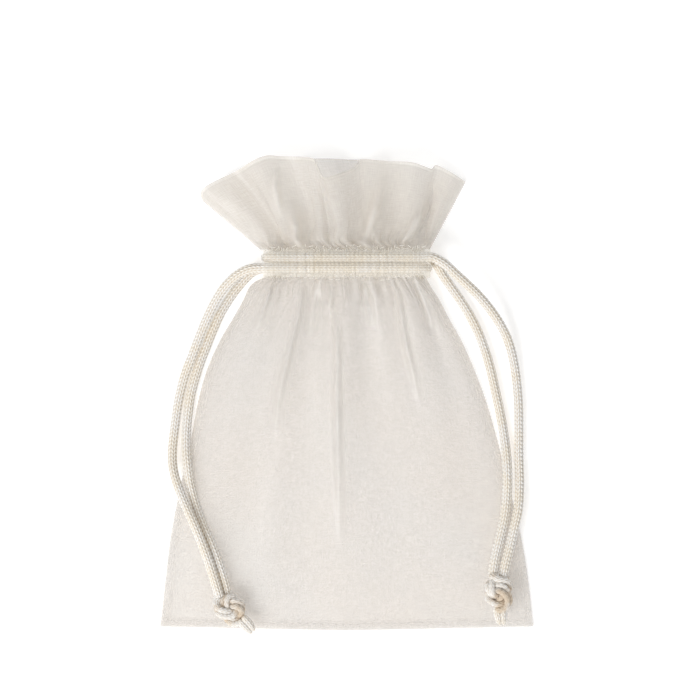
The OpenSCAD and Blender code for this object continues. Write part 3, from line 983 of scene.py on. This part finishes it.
# The casing: the same cloth painted lighter and warmer, as painted light.
casing_cloth = organza("gathered_organza", (1.0, 0.98, 0.93), 0.15, (1.0, 0.965, 0.88), 0.6)
seam_cloth = organza("seam_organza", cream, 0.05, warm_side, 0.2)
for made in (body_cloth, doubled_cloth, shaded_doubled_cloth, casing_cloth, seam_cloth):
    print("material", made.name)

# %% [markdown]
# Creases are lines of raised cloth. The packet and the gathering pressed them in, and they spread as they
# run out. The same lines also tell the finish where to make the cloth denser and paint a glint on it.

# %% Creases
crease_spread = 3.0  # how much wider a line of light is at its far end
# Strength and width of the painted glint lines.
crease_light, crease_width = 1.0, 0.6


def ridge(points, path, height, width, spread=0.0):
    """Raises cloth along a line in the plan. It fades towards both ends, and spread widens it on the way."""
    path = smooth(path, 12)
    y = points[..., 1]
    along = (y - path[0, 1]) / (path[-1, 1] - path[0, 1])
    order = np.argsort(path[:, 1])
    gap = points[..., 0] - np.interp(y, path[order, 1], path[order, 0])
    fade = np.clip(np.minimum(along / 0.2, (1 - along) / 0.5), 0, 1)
    return height * fade * np.exp(-((gap / (width * (1 + spread * np.clip(along, 0, 1)))) ** 2))


def raise_ridges(points, ridges):
    for path, height, width in ridges:
        points[..., 2] += ridge(points, path, height, width)


def crease_lines(points, ridges):
    """Where the finish paints glints along the raised lines, stronger in some stretches than in others."""
    total = np.zeros(points.shape[:2])
    for path, height, _ in ridges:
        if height > 0:
            y = points[..., 1]
            uneven = 0.75 + 0.25 * np.sin(y / 4.7 + 5 * height) * np.sin(y / 3.1 + height)
            total += ridge(points, path, crease_light, crease_width, crease_spread) * uneven
    return np.clip(total, 0, 1)


print("lines of light are", crease_width, "to", crease_width * (1 + crease_spread), "mm wide")

# %% [markdown]
# ## The two body panels
#
# The front panel arches over the empty inside and its folds run down from the stitching. The back panel
# lies on the table and is gathered at the neck in the same way, but has nowhere to go except up. Three long
# ridges, six short ones beside them and two grooves run down from the neck of the front.

# %% Body panels
body_rows = 170
sheet_t = 0.16
panel_crown, back_crown = (11.2, 0.62), (1.8, 0.6)  # height in mm and fullness
front_pleats, back_pleats = 18, 17
front_phase, back_phase = 0.4, 2.1
lowest = 0.12
shoulder_blend = ((1.5, neck_low), (19.5, 47.0))
body_heights = neck_low + (body_bottom - neck_low) * np.linspace(0, 1, body_rows) ** 1.35
# Share of the spare cloth that stands in folds, from the bottom seam up to the stitching
body_fold_share = np.interp(body_heights, [-76, -30, 0, 15, 28, neck_low], [0.0, 0.04, 0.07, 0.10, 0.22, 0.8])
# Each line is its points in the plan, its height and its width. A groove has a negative height.
front_ridges = [
    ([(-13.4, 37.0), (-15, 27), (-18.2, 14.2), (-21.5, 0), (-23, -14)], 1.5, 1.1),
    ([(-6.1, 37.0), (-4.5, 27), (-3.2, 17.4), (-3.0, -8), (-2.0, -50)], 1.5, 1.2),
    ([(15.4, 37.0), (18.6, 17.4), (20.8, 7.8), (23.5, -4)], 1.5, 1.1),
    ([(-1.0, 35.0), (-1.0, 20.6), (0.5, 8)], -0.7, 0.9),
    ([(-16.6, 31.0), (-21.4, 23.2), (-25, 14)], -0.7, 1.1),
    ([(-23.0, 36.0), (-26.0, 29.0), (-28.5, 20.0)], 0.8, 0.8),
    ([(-9.6, 36.5), (-10.4, 29.0), (-11.8, 17.0)], 0.7, 0.7),
    ([(5.0, 36.5), (6.2, 30.0), (8.4, 20.0)], 0.7, 0.7),
    ([(21.4, 36.0), (25.2, 28.0), (28.4, 18.0)], 0.8, 0.8),
]


def body_pattern(pleats, phase):
    """Pleats at the stitching that merge into eight folds and then into four or five, all by mm below it."""
    below = (neck_low - body_heights)[:, None]
    fine = dying_out(below, 9.0, 1.5) * fold_family(pleats, phase, wander=2.2, bend=37)
    middle = coming_in(below, 6.0) * dying_out(below, 34.0, 2)
    middle = middle * fold_family(8, phase + 0.7, wander=3.0, bend=61)
    broad = coming_in(below, 14.0) * fold_family(4.5, phase + 1.9, wander=4.0, bend=83)
    return (fine + 0.75 * middle + 0.55 * broad) * fade_at_edges(7.0)


front_body = lay_rows(
    body_base(body_heights, 0.75, *panel_crown), body_pattern(front_pleats, front_phase), body_fold_share
)
raise_ridges(front_body, front_ridges)
back_body = lay_rows(
    body_base(body_heights, 0.25, *back_crown), body_pattern(back_pleats, back_phase), body_fold_share
)
back_body[..., 2] = kept_above(back_body[..., 2], lowest, 0.9)

body_flat = flat_map(body_heights - body_bottom)
front_creases = crease_lines(front_body, front_ridges)
body_sheets = {}
for layer, grid, creases in (("front", front_body, front_creases), ("back", back_body, 0 * front_creases)):
    normal = sheet_normals(grid)
    for half in ("left", "right"):
        name = f"{layer}_panel_{half}"
        piece = shell_half(name, grid, normal, body_flat, sheet_t, half, body_cloth, creases)
        nodes = [f"{layer}_panel"] if half == "left" else []
        hand_in(piece, "body_fabric", *nodes)
        follow_neck(piece, half, *shoulder_blend)
        body_sheets[layer, half] = piece
    print(layer, "panel from", round(grid[..., 2].min(), 2), "to", round(grid[..., 2].max(), 2), "mm high")

# %% [markdown]
# ## The ruffle
#
# Above the casing the cloth is folded over at the top and stitched back down, so the ruffle is two cloths
# thick with a soft rolled edge. Each side is one closed envelope: its outer face is one cloth, its inner
# face the other. It fans out from the neck. The left side has fallen outwards into a blunt, rounded corner
# and the right one has folded back on itself in a narrow flap, and the front's edge dips in the middle and
# shows the back one behind it.

# %% Top edges of the ruffle, from the left seam to the right one
front_top = smooth(
    [
        (-46.4, 62.3, 1.6), (-46.9, 64.2, 2.6), (-45.2, 66.6, 4.6), (-36, 71.2, 8.6), (-27.0, 75.7, 11.0),
        (-21.5, 76.0, 12.2), (-11.5, 75.3, 13.4), (-9.6, 73.0, 13.8), (-7.4, 69.0, 14.2), (-4.0, 69.6, 14.2),
        (1.0, 71.6, 13.4), (3.2, 73.4, 12.8), (4.6, 75.0, 12.6), (11, 74.6, 11.8), (20.2, 74.0, 10.8),
        (25.2, 72.6, 9.6), (27.6, 72.3, 8.6), (29.6, 73.0, 7.6), (33.6, 71.0, 4.6), (38.0, 68.3, 1.6),
    ],
    16,
)
back_top = smooth(
    [
        (-46.4, 62.3, 0.5), (-46.6, 64.4, 0.6), (-45.0, 66.2, 0.8), (-36, 70.8, 1.2), (-27, 75.2, 1.4),
        (-16, 75.6, 1.6), (-4, 75.5, 1.6), (8, 75.2, 1.6), (18, 73.9, 1.5), (25, 72.4, 1.3), (29, 72.2, 1.1),
        (33.6, 70.6, 0.9), (38.0, 68.3, 0.5),
    ],
    16,
)
print("top edges are", [round(lengths_along(top)[-1], 1) for top in (front_top, back_top)], "mm long")

# %% [markdown]
# The rows of the ruffle run from the stitching, where they are short and tightly pleated, to these top
# edges. The last rows get thinner, which rolls the edge.

# %% Ruffle
header_rows = 74
ruffle_t = 0.5
rolled_rows = 2.5
# The rolled edge gets a painted glint and more density through its creases.
edge_light = 0.22  # how much the rolled edge itself catches the light
left_of_ruffle, right_of_ruffle = 27.6, 26.4
ruffle_blend = ((0.0, neck_high), (8.446, 34.73))
header_share = np.linspace(0, 1, header_rows)
# Share of the spare cloth that stands in folds, from the stitching to the top edge
ruffle_share = np.interp(header_share, [0, 0.12, 0.3, 1.0], [0.8, 0.5, 0.48, 0.55])
back_extra_share = 0.15
ruffle_ridges = [
    ([(-15.2, 45.5), (-15.8, 52), (-17.4, 62)], 3.0, 2.6),
    ([(-21.8, 72.5), (-22.6, 66), (-20.6, 55)], 1.3, 1.0),
    ([(-5.2, 47.5), (-6.4, 58), (-9.3, 75)], -1.2, 1.0),
    ([(5.0, 46.5), (8.0, 56), (12.4, 70)], 1.9, 1.6),
    ([(17.5, 47.0), (22.5, 56), (25.5, 60), (24.0, 63)], 2.0, 1.6),
    ([(24.3, 46.0), (26.4, 58), (28.8, 74)], -1.4, 0.9),
]


def ruffle_base(top, seam_z, height, fullness):
    """One smooth row at each share of the way from the stitching to the top edge."""
    places = np.linspace(0, 1, base_points)
    x = (right_of_ruffle - left_of_ruffle) / 2 + (right_of_ruffle + left_of_ruffle) / 2 * (2 * places - 1)
    z = seam_z + crown(x, np.full(base_points, neck_low), left_of_ruffle, right_of_ruffle, height, fullness)
    low = np.stack([x, np.full(base_points, neck_high), z], -1)
    high = at_lengths(top, lengths_along(top)[-1] * places)
    return [low + (high - low) * share for share in header_share]


def ruffle_pattern(pleats, phase):
    """Pleats at the stitching that merge into seven folds and then three or four, by share of the way."""
    up = header_share[:, None]
    fine = dying_out(up, 0.15, 1.4) * fold_family(pleats, phase, wander=2.2, bend=37)
    middle = coming_in(up, 0.15) * dying_out(up, 0.85, 2) * fold_family(7, phase + 0.5, wander=3.5, bend=53)
    broad = coming_in(up, 0.3) * fold_family(3.7, phase + 2.4, wander=5.0, bend=71)
    return (fine + 0.8 * middle + 0.8 * broad) * fade_at_edges(6.0)


front_ruffle = lay_rows(
    ruffle_base(front_top, 0.75, *panel_crown), ruffle_pattern(front_pleats, front_phase), ruffle_share
)
raise_ridges(front_ruffle, ruffle_ridges)
back_ruffle = lay_rows(
    ruffle_base(back_top, 0.35, *back_crown), ruffle_pattern(back_pleats, back_phase),
    ruffle_share + back_extra_share,
)
for grid in (front_ruffle, back_ruffle):
    grid[..., 2] = kept_above(grid[..., 2], 0.1 + ruffle_t / 2)

ruffle_flat = flat_map(body_length + casing_length / 2 + ruffle_length * header_share)
rows_to_edge = (1 - header_share[:, None]) * (header_rows - 1)
rolled = ruffle_t * np.sqrt(np.clip(1 - (1 - np.clip(rows_to_edge / rolled_rows, 0, 1)) ** 2, 0.01, 1))
front_creases = crease_lines(front_ruffle, ruffle_ridges)
front_creases[-3:] += edge_light
ruffle_sheets = {}
for layer, grid, creases, finish in (
    ("front", front_ruffle, front_creases, doubled_cloth),
    ("back", back_ruffle, 0 * front_creases, shaded_doubled_cloth),
):
    normal = sheet_normals(grid)
    for half in ("left", "right"):
        piece = shell_half(f"{layer}_ruffle_{half}", grid, normal, ruffle_flat, rolled, half, finish, creases)
        nodes = [f"{layer}_header"] if half == "left" else []
        hand_in(piece, "header_fabric", *nodes)
        follow_neck(piece, half, *ruffle_blend)
        ruffle_sheets[layer, half] = piece
    print(layer, "ruffle from", round(grid[..., 2].min(), 2), "to", round(grid[..., 2].max(), 2), "mm high")

# %% [markdown]
# ## The casings
#
# The casing is the tunnel between the two rows of stitching. The cloth goes over the two cords and back
# under them, and because it is gathered most tightly here it stands in narrow pleats round the cords. The
# tunnel is open at both ends, where the cords come out.

# %% Casings
casing_rows = 44
stitch_half = (neck_high - neck_low) / 2
casing_middle = (neck_high + neck_low) / 2
casing_blend = ((0.0, casing_middle), (25.0, casing_middle))
casing_reach = 26.6  # from the middle to the open end
over_cords, under_cords = 2.35, 2.25
pleat_height = 0.7  # share of a pleat's height that stands
pleat_pinch = 0.2  # how much less of it at the stitching
under_lift = 0.9  # how much of that stands under the cords


def casing_section(turn):
    """Y and Z of the tunnel's wall at each turn round it, pinched where the stitching holds it."""
    tall = np.abs(np.sin(turn)) ** 0.75
    return stitch_half * np.cos(turn), np.where(np.sin(turn) > 0, over_cords, -under_cords) * tall


def casing_grid(centre_z, pleats, phase):
    """A tunnel of narrow pleats, which lean a little and are slightly uneven in spacing and depth."""
    turn = np.linspace(0, 2 * np.pi, casing_rows)
    lean = 1.3 * np.sin(turn + 0.4)[:, None] * np.sin(across / 7.7 + phase)
    moved = across + 1.3 * np.sin(across / 7.9 + phase) + 0.3 * np.sin(across / 3.1 + 2 * phase)
    depth = 0.94 + 0.06 * np.sin(across / 4.1 + 3 * phase)
    pattern = depth * np.sin(np.pi * pleats * moved / cloth_half + phase + lean) * fade_at_edges(3.0)
    rooms, cloths = np.full(casing_rows, 2 * casing_reach), np.full(casing_rows, 2 * cloth_half)
    along, above = settle(pattern, rooms, cloths)
    y, z = casing_section(turn)
    pinched = np.abs(np.cos(turn))[:, None] ** 3
    wobble = 0.35 * np.sin(across / 6.1 + phase) + 0.25 * np.sin(across / 2.9 + 2 * phase)
    lifts = np.where(np.sin(turn) >= -0.05, 1, under_lift)[:, None] * (pleat_height - pleat_pinch * pinched)
    wall_y = casing_middle + y[:, None] * (1 + 0.12 * above) + wobble * pinched
    wall_z = centre_z + z[:, None] + above * lifts
    return np.stack([along - casing_reach, wall_y, np.maximum(wall_z, lowest)], -1)


def tunnel_normals(grid, centre_z):
    """Normals that face away from the cords, with the tunnel's first and last rows made one."""
    normal = sheet_normals(grid)
    outward = grid - np.array([0, casing_middle, centre_z])
    if (normal[..., 1:] * outward[..., 1:]).sum() < 0:
        normal = -normal
    normal[0] = normal[-1] = (normal[0] + normal[-1]) / 2
    return normal / np.linalg.norm(normal, axis=2)[..., None]


casing_flat = flat_map(np.linspace(body_length, body_length + casing_length, casing_rows))
# Each tunnel's height, its pleats and where they start
casing_layers = (("front", front_z, 25, front_phase), ("back", back_z + 0.15, 24, back_phase))
casings, casing_grids = {}, {}
for layer, centre_z, pleats, phase in casing_layers:
    grid = casing_grid(centre_z, pleats, phase)
    casing_grids[layer] = grid
    normal = tunnel_normals(grid, centre_z)
    no_creases = np.zeros(grid.shape[:2])
    for half in ("left", "right"):
        name = f"{layer}_casing_{half}"
        piece = shell_half(name, grid, normal, casing_flat, sheet_t, half, casing_cloth, no_creases)
        nodes = [f"{layer}_casing"] if half == "left" else []
        hand_in(piece, "casing_fabric", *nodes)
        follow_neck(piece, half, *casing_blend)
        casings[layer, half] = piece
    print(layer, "casing from", round(grid[..., 2].min(), 2), "to", round(grid[..., 2].max(), 2), "mm high")

# %% [markdown]
# ## Seam allowances
#
# The two panels are sewn together a few millimetres in from their raw edges and then turned, so inside each
# side and along the bottom there is a narrow strip of cloth lying between the layers. Through the sheer
# front it only shows as a slightly denser border. Each strip is one thin shell that follows the edge it
# belongs to.

# %% Seam strips
seam_width = 3.2
seam_t = 0.12
seam_start = 0.15  # gap between the edge of the pouch and the strip
strip_points = 7
body_seam_z, ruffle_seam_z = 0.5, 0.75


def strip(name, edge, inward, z, replaced):
    """A thin closed strip beside an edge. edge holds points in mm and inward holds unit directions."""
    steps = np.linspace(seam_start, seam_width, strip_points)
    grid = edge[:, None, :] + inward[:, None, :] * steps[None, :, None]
    grid[..., 2] = z
    points, quads, _ = closed_skin(grid, np.broadcast_to(UP, grid.shape), np.full(grid.shape[:2], seam_t))
    part = {"points": points, "quads": quads, "place": np.vstack([grid[..., :2].reshape(-1, 2)] * 2)}
    piece = make_mesh(name, [part], seam_cloth)
    piece.data.polygons.foreach_set("use_smooth", np.zeros(len(piece.data.polygons), bool))
    hand_in(piece, "seam_fabric", replaced)
    return piece


def inward_of(edge, towards):
    """Unit directions across an edge, to the side where the given point lies."""
    direction = np.gradient(edge, axis=0)
    side = np.cross(direction, UP)
    side /= np.linalg.norm(side, axis=1)[:, None]
    return side * np.sign((side * (towards - edge)).sum(axis=1))[:, None]


on_table = np.array([1, 1, 0])
for half, column in (("left", 0), ("right", columns)):
    edge = front_body[:, column] * on_table
    inward = inward_of(edge, np.zeros(3))
    side_seam = strip(f"{half}_side_allowance", edge, inward, body_seam_z, f"{half}_side_seam")
    follow_neck(side_seam, half, *shoulder_blend)
    edge = front_ruffle[:, column] * on_table
    inward = inward_of(edge, np.array([0.0, 60.0, 0.0]))
    top_seam = strip(f"{half}_ruffle_allowance", edge[:-3], inward[:-3], ruffle_seam_z, f"{half}_header_seam")
    follow_neck(top_seam, half, *ruffle_blend)

edge = front_body[-1] * on_table
bottom_strip = strip(
    "bottom_allowance", edge, np.tile([0.0, 1.0, 0.0], (len(edge), 1)), body_seam_z, "bottom_seam"
)
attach(bottom_strip, "pouch")
print("seam strips", seam_width, "mm wide")

# %% [markdown]
# ## Stitches
#
# Sewing thread repeats one small thing, a stitch, along a line, which is what Geometry Nodes are good at.
# The tree below takes a line, marks points along it one stitch and one gap apart, and puts a plump little
# thread on each, turned along the line. With "Across" on, the threads lie side by side across the line, as
# in the dense bar tacks that stop a seam from tearing. Seeded noise keeps the stitches from being perfectly
# even.

# %% Stitch tree
stitch_settings = (
    ("Stitch length", "NodeSocketFloat"),
    ("Stitch pitch", "NodeSocketFloat"),
    ("Thread thickness", "NodeSocketFloat"),
    ("Unevenness", "NodeSocketFloat"),
    ("Across", "NodeSocketBool"),
    ("Seed", "NodeSocketInt"),
    ("Thread", "NodeSocketMaterial"),
)


def stitch_tree():
    tree = bpy.data.node_groups.new("Stitches along a line", "GeometryNodeTree")
    face = tree.interface
    face.new_socket(name="Geometry", in_out="INPUT", socket_type="NodeSocketGeometry")
    for label, kind in stitch_settings:
        face.new_socket(name=label, in_out="INPUT", socket_type=kind)
    face.new_socket(name="Geometry", in_out="OUTPUT", socket_type="NodeSocketGeometry")
    link = tree.links.new
    given, result = node(tree, "NodeGroupInput", (-900, 0)), node(tree, "NodeGroupOutput", (1100, 0))
    curve = node(tree, "GeometryNodeMeshToCurve", (-700, 100))
    marks = node(tree, "GeometryNodeCurveToPoints", (-500, 100))
    marks.mode = "LENGTH"
    link(given.outputs["Geometry"], curve.inputs["Mesh"])
    link(curve.outputs["Curve"], marks.inputs["Curve"])
    link(given.outputs["Stitch pitch"], marks.inputs["Length"])
    over = node(tree, "ShaderNodeVectorMath", (-300, -150))
    over.operation = "CROSS_PRODUCT"
    over.inputs[1].default_value = UP
    link(marks.outputs["Tangent"], over.inputs[0])
    lay = node(tree, "GeometryNodeSwitch", (-100, -100))
    lay.input_type = "VECTOR"
    link(given.outputs["Across"], lay.inputs["Switch"])
    link(marks.outputs["Tangent"], lay.inputs["False"])
    link(over.outputs["Vector"], lay.inputs["True"])
    noise = node(tree, "FunctionNodeRandomValue", (-300, -350))
    noise.data_type = "FLOAT_VECTOR"
    noise.inputs["Min"].default_value = (-1, -1, -1)
    link(given.outputs["Seed"], noise.inputs["Seed"])
    little = node(tree, "ShaderNodeVectorMath", (-100, -350))
    little.operation = "SCALE"
    link(noise.outputs["Value"], little.inputs[0])
    link(given.outputs["Unevenness"], little.inputs["Scale"])
    leaning = node(tree, "ShaderNodeVectorMath", (80, -200))
    leaning.operation = "ADD"
    link(lay.outputs["Output"], leaning.inputs[0])
    link(little.outputs["Vector"], leaning.inputs[1])
    turn = node(tree, "FunctionNodeAlignRotationToVector", (260, -150))
    turn.axis = "Z"
    link(leaning.outputs["Vector"], turn.inputs["Vector"])
    size = node(tree, "ShaderNodeCombineXYZ", (260, -350))
    link(given.outputs["Thread thickness"], size.inputs["X"])
    link(given.outputs["Thread thickness"], size.inputs["Y"])
    link(given.outputs["Stitch length"], size.inputs["Z"])
    bead = node(tree, "GeometryNodeMeshUVSphere", (260, 200), Segments=8, Rings=6, Radius=0.5)
    copies = node(tree, "GeometryNodeInstanceOnPoints", (480, 100))
    link(marks.outputs["Points"], copies.inputs["Points"])
    link(bead.outputs["Mesh"], copies.inputs["Instance"])
    link(turn.outputs["Rotation"], copies.inputs["Rotation"])
    link(size.outputs["Vector"], copies.inputs["Scale"])
    real = node(tree, "GeometryNodeRealizeInstances", (660, 100))
    rounded = node(tree, "GeometryNodeSetShadeSmooth", (800, 100))
    finish = node(tree, "GeometryNodeSetMaterial", (940, 100))
    link(copies.outputs["Instances"], real.inputs["Geometry"])
    link(real.outputs["Geometry"], rounded.inputs["Geometry"])
    link(rounded.outputs["Geometry"], finish.inputs["Geometry"])
    link(given.outputs["Thread"], finish.inputs["Material"])
    link(finish.outputs["Geometry"], result.inputs["Geometry"])
    return tree


stitches = stitch_tree()
print("tree", stitches.name, "takes", [label for label, _ in stitch_settings])

# %% [markdown]
# Sewing along a line puts the tree on it as a modifier, sets the tree's inputs by their identifiers, and
# keeps the result as a plain mesh.

# %% Sewing along a line
def sew(name, line, material, seed, length, pitch, thickness, uneven, across):
    """Sews along a line of points in mm and returns the stitches as a plain mesh."""
    mesh = bpy.data.meshes.new(name)
    mesh.from_pydata([tuple(p * MM) for p in line], [(i, i + 1) for i in range(len(line) - 1)], [])
    piece = bpy.data.objects.new(name, mesh)
    bpy.context.scene.collection.objects.link(piece)
    modifier = piece.modifiers.new("Stitches", "NODES")
    modifier.node_group = stitches
    values = {
        "Stitch length": length * MM, "Stitch pitch": pitch * MM, "Thread thickness": thickness * MM,
        "Unevenness": uneven, "Across": across, "Seed": seed, "Thread": material,
    }
    for socket in stitches.interface.items_tree:
        if socket.in_out == "INPUT" and socket.name in values:
            modifier[socket.identifier] = values[socket.name]
    graph = bpy.context.evaluated_depsgraph_get()
    sewn = bpy.data.meshes.new_from_object(piece.evaluated_get(graph))
    sewn.name = name
    piece.modifiers.clear()
    piece.data = sewn
    bpy.data.meshes.remove(mesh)
    return piece


# Sizes in mm. A stitch's pitch is from the start of one to the start of the next.
casing_stitch = {"length": 1.7, "pitch": 1.95, "thickness": 0.2, "uneven": 0.05, "across": False}
seam_stitch = {"length": 1.8, "pitch": 2.3, "thickness": 0.1, "uneven": 0.03, "across": False}
tack_stitch = {"length": 1.3, "pitch": 0.26, "thickness": 0.3, "uneven": 0.12, "across": True}
print("the casing has", round(10 / casing_stitch["pitch"], 1), "stitches to the centimetre")

# %% [markdown]
# The thread is fine, slightly shiny polyester, a touch whiter than the cloth, so the two rows above and
# below the casing catch the light as thin arcs. Its ply is a spiral, shown as narrow bands of painted shade
# along each stitch, together with a bump.

# %% Thread material
def sewing_thread(name, shade, light):
    material, tree, output = new_material(name)
    link = tree.links.new
    where = node(tree, "ShaderNodeTexCoord", (-800, 0))
    ply = node(tree, "ShaderNodeTexWave", (-550, 0), Scale=3200.0, Distortion=1.5)
    ply.bands_direction = "DIAGONAL"
    # Painted shade in the grooves of the ply, and the lighter colour on its crests.
    tone = ramp(tree, (-300, 0), [(0.1, shade), (0.8, light)])
    bump = node(tree, "ShaderNodeBump", (-50, -300), Strength=0.3, Distance=0.00003)
    shader = node(tree, "ShaderNodeBsdfPrincipled", (200, 0), Roughness=0.4, Sheen_Weight=0.2)
    link(where.outputs["Object"], ply.inputs["Vector"])
    link(ply.outputs["Fac"], tone.inputs["Fac"])
    link(ply.outputs["Fac"], bump.inputs["Height"])
    link(tone.outputs["Color"], shader.inputs["Base Color"])
    link(bump.outputs["Normal"], shader.inputs["Normal"])
    link(shader.outputs["BSDF"], output.inputs["Surface"])
    return material


thread = sewing_thread("casing_thread", (0.86, 0.83, 0.77), (0.97, 0.96, 0.93))
seam_sewing = sewing_thread("seam_thread", (0.72, 0.69, 0.65), (0.80, 0.775, 0.74))
print("threads", thread.name, seam_sewing.name)

# %% [markdown]
# The rows by the casing are sewn through front and back separately. They follow the pleats, so their line
# is taken from the tunnel's pinched edges.

# %% Sew the casings' rows
row_above = 0.22  # how far the thread's middle lies above the cloth's
row_ends = 6  # columns without stitches at each end
left_columns, right_columns = slice(row_ends, columns // 2 + 1), slice(columns // 2, columns + 1 - row_ends)
for layer, grid in casing_grids.items():
    for place, row in (("upper", 0), ("lower", casing_rows // 2)):
        for half, pick in (("left", left_columns), ("right", right_columns)):
            line = grid[row, pick] + UP * row_above
            sewn = sew(f"{layer}_{place}_stitches_{half}", line, thread, 3 + row, **casing_stitch)
            nodes = [f"{layer}_{place}_stitches"] if half == "left" else []
            hand_in(sewn, "thread", *nodes)
            follow_neck(sewn, half, *casing_blend)
    print(layer, "casing sewn")

# %% [markdown]
# The seams are sewn 2 mm in from the edge of the pouch. Each line is found on the front panel, row by row,
# at that distance from the edge.

# %% Sew the seams
seam_in = 2.0
seam_above = 0.12
searched = 40  # columns looked at from the side edge
searched_rows = 30  # rows looked at from the bottom edge
for half, step in (("left", 1), ("right", -1)):
    picked = []
    for row in front_body[4:-4]:
        near = row[::step][:searched]
        reach = np.abs(near[:, 0] - near[0, 0])
        order = np.argsort(reach)
        picked.append([np.interp(seam_in, reach[order], near[order, k]) for k in range(3)])
    line = np.array(picked) + UP * seam_above
    sewn = sew(f"{half}_seam_stitches", line, seam_sewing, 11, **seam_stitch)
    hand_in(sewn, "thread", f"{half}_seam_thread")
    follow_neck(sewn, half, *shoulder_blend)

bottom_line = []
for column in range(10, columns - 9, 2):
    path = front_body[-searched_rows:, column][::-1]
    reach = path[:, 1] - path[0, 1]
    bottom_line.append([np.interp(seam_in, reach, path[:, k]) for k in range(3)])
sewn = sew("bottom_seam_stitches", np.array(bottom_line) + UP * seam_above, seam_sewing, 12, **seam_stitch)
hand_in(sewn, "thread", "bottom_seam_thread")
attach(sewn, "pouch")
print("seams sewn", seam_in, "mm from the edge")

# %% [markdown]
# Four bar tacks close the side seams just below and just above the gap where the cords come out.

# %% Sew the bar tacks
tack_z = 1.45
for half, sign in (("left", -1), ("right", 1)):
    for place, y in (("lower", 37.6), ("upper", 46.4)):
        line = np.array([[sign * x, y, tack_z] for x in np.linspace(21.2, 24.9, 12)])
        sewn = sew(f"{half}_{place}_bar_tack", line, thread, 20, **tack_stitch)
        hand_in(sewn, "thread", f"{half}_{place}_tack")
        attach(sewn, f"{half}_neck_end")
sewing = [o for o in bpy.data.objects if "stitch" in o.name or "tack" in o.name]
print(len(sewing), "pieces of thread have", sum(len(o.data.polygons) for o in sewing if o.data), "faces")

# %% [markdown]
# ## What the sheets are
#
# Each half panel, ruffle side and casing is a sheet. The sheets of each kind are counted, with the size they
# lie flat.

for sheets, length in ((body_sheets, body_length), (ruffle_sheets, ruffle_length), (casings, casing_length)):
    print(len(sheets), "sheets of", cloth_half, "x", length, "mm")

# %% [markdown]
# ## Floor and light
#
# A sheer cream pouch on white is best lit very softly: a bright, even surround keeps the cloth pale, and
# one large lamp from the lower left gives the cords and folds a shaded side. The floor is matt white and
# glows faintly, so that its colour stays white under the cloth.

# %% Floor
floor_half = 2.0
floor_below = 0.4  # how far the floor lies under the pouch, in mm
floor_glow = 0.34
floor_corners = [(-floor_half, -floor_half, 0), (floor_half, -floor_half, 0)]
floor_corners += [(floor_half, floor_half, 0), (-floor_half, floor_half, 0)]
floor_mesh = bpy.data.meshes.new("pale_floor")
floor_mesh.from_pydata(floor_corners, [], [(0, 1, 2, 3)])
floor = bpy.data.objects.new("pale_floor", floor_mesh)
floor.location.z = -floor_below * MM
bpy.context.scene.collection.objects.link(floor)
white, tree, output = new_material("pale_floor")
matt = node(
    tree, "ShaderNodeBsdfPrincipled", (300, 0), Roughness=0.8, Base_Color=(0.9, 0.9, 0.9, 1),
    Emission_Color=(1, 1, 1, 1), Emission_Strength=floor_glow,
)
tree.links.new(matt.outputs["BSDF"], output.inputs["Surface"])
floor_mesh.materials.append(white)
print("floor", floor.location.z)

# %% [markdown]
# The surround is plain white. The lamp is 0.6 m square and hangs a little over a metre away, which makes
# its shadows soft. Light has to pass many layers of open cloth and bounce between them, so more bounces are
# allowed.

# %% Surround and lamp
surround_strength = 0.57
lamp_size, lamp_power = 0.6, 8.0
world = bpy.data.worlds.new("studio")
bpy.context.scene.world = world
world.use_nodes = True
surround = world.node_tree.nodes["Background"]
surround.inputs["Color"].default_value = (1, 1, 1, 1)
surround.inputs["Strength"].default_value = surround_strength
lamp = bpy.data.lights.new("soft_key", "AREA")
lamp.size = lamp_size
lamp.energy = lamp_power
key = bpy.data.objects.new("soft_key", lamp)
key.location = (-0.5, -0.6, 0.9)
key.rotation_euler = (-key.location).to_track_quat("-Z", "Y").to_euler()
bpy.context.scene.collection.objects.link(key)
bpy.context.scene.view_settings.view_transform = "Standard"
bpy.context.scene.cycles.transparent_max_bounces = 24
bpy.context.scene.cycles.diffuse_bounces = 8
print("lamp", round(key.location.length, 2), "m away")
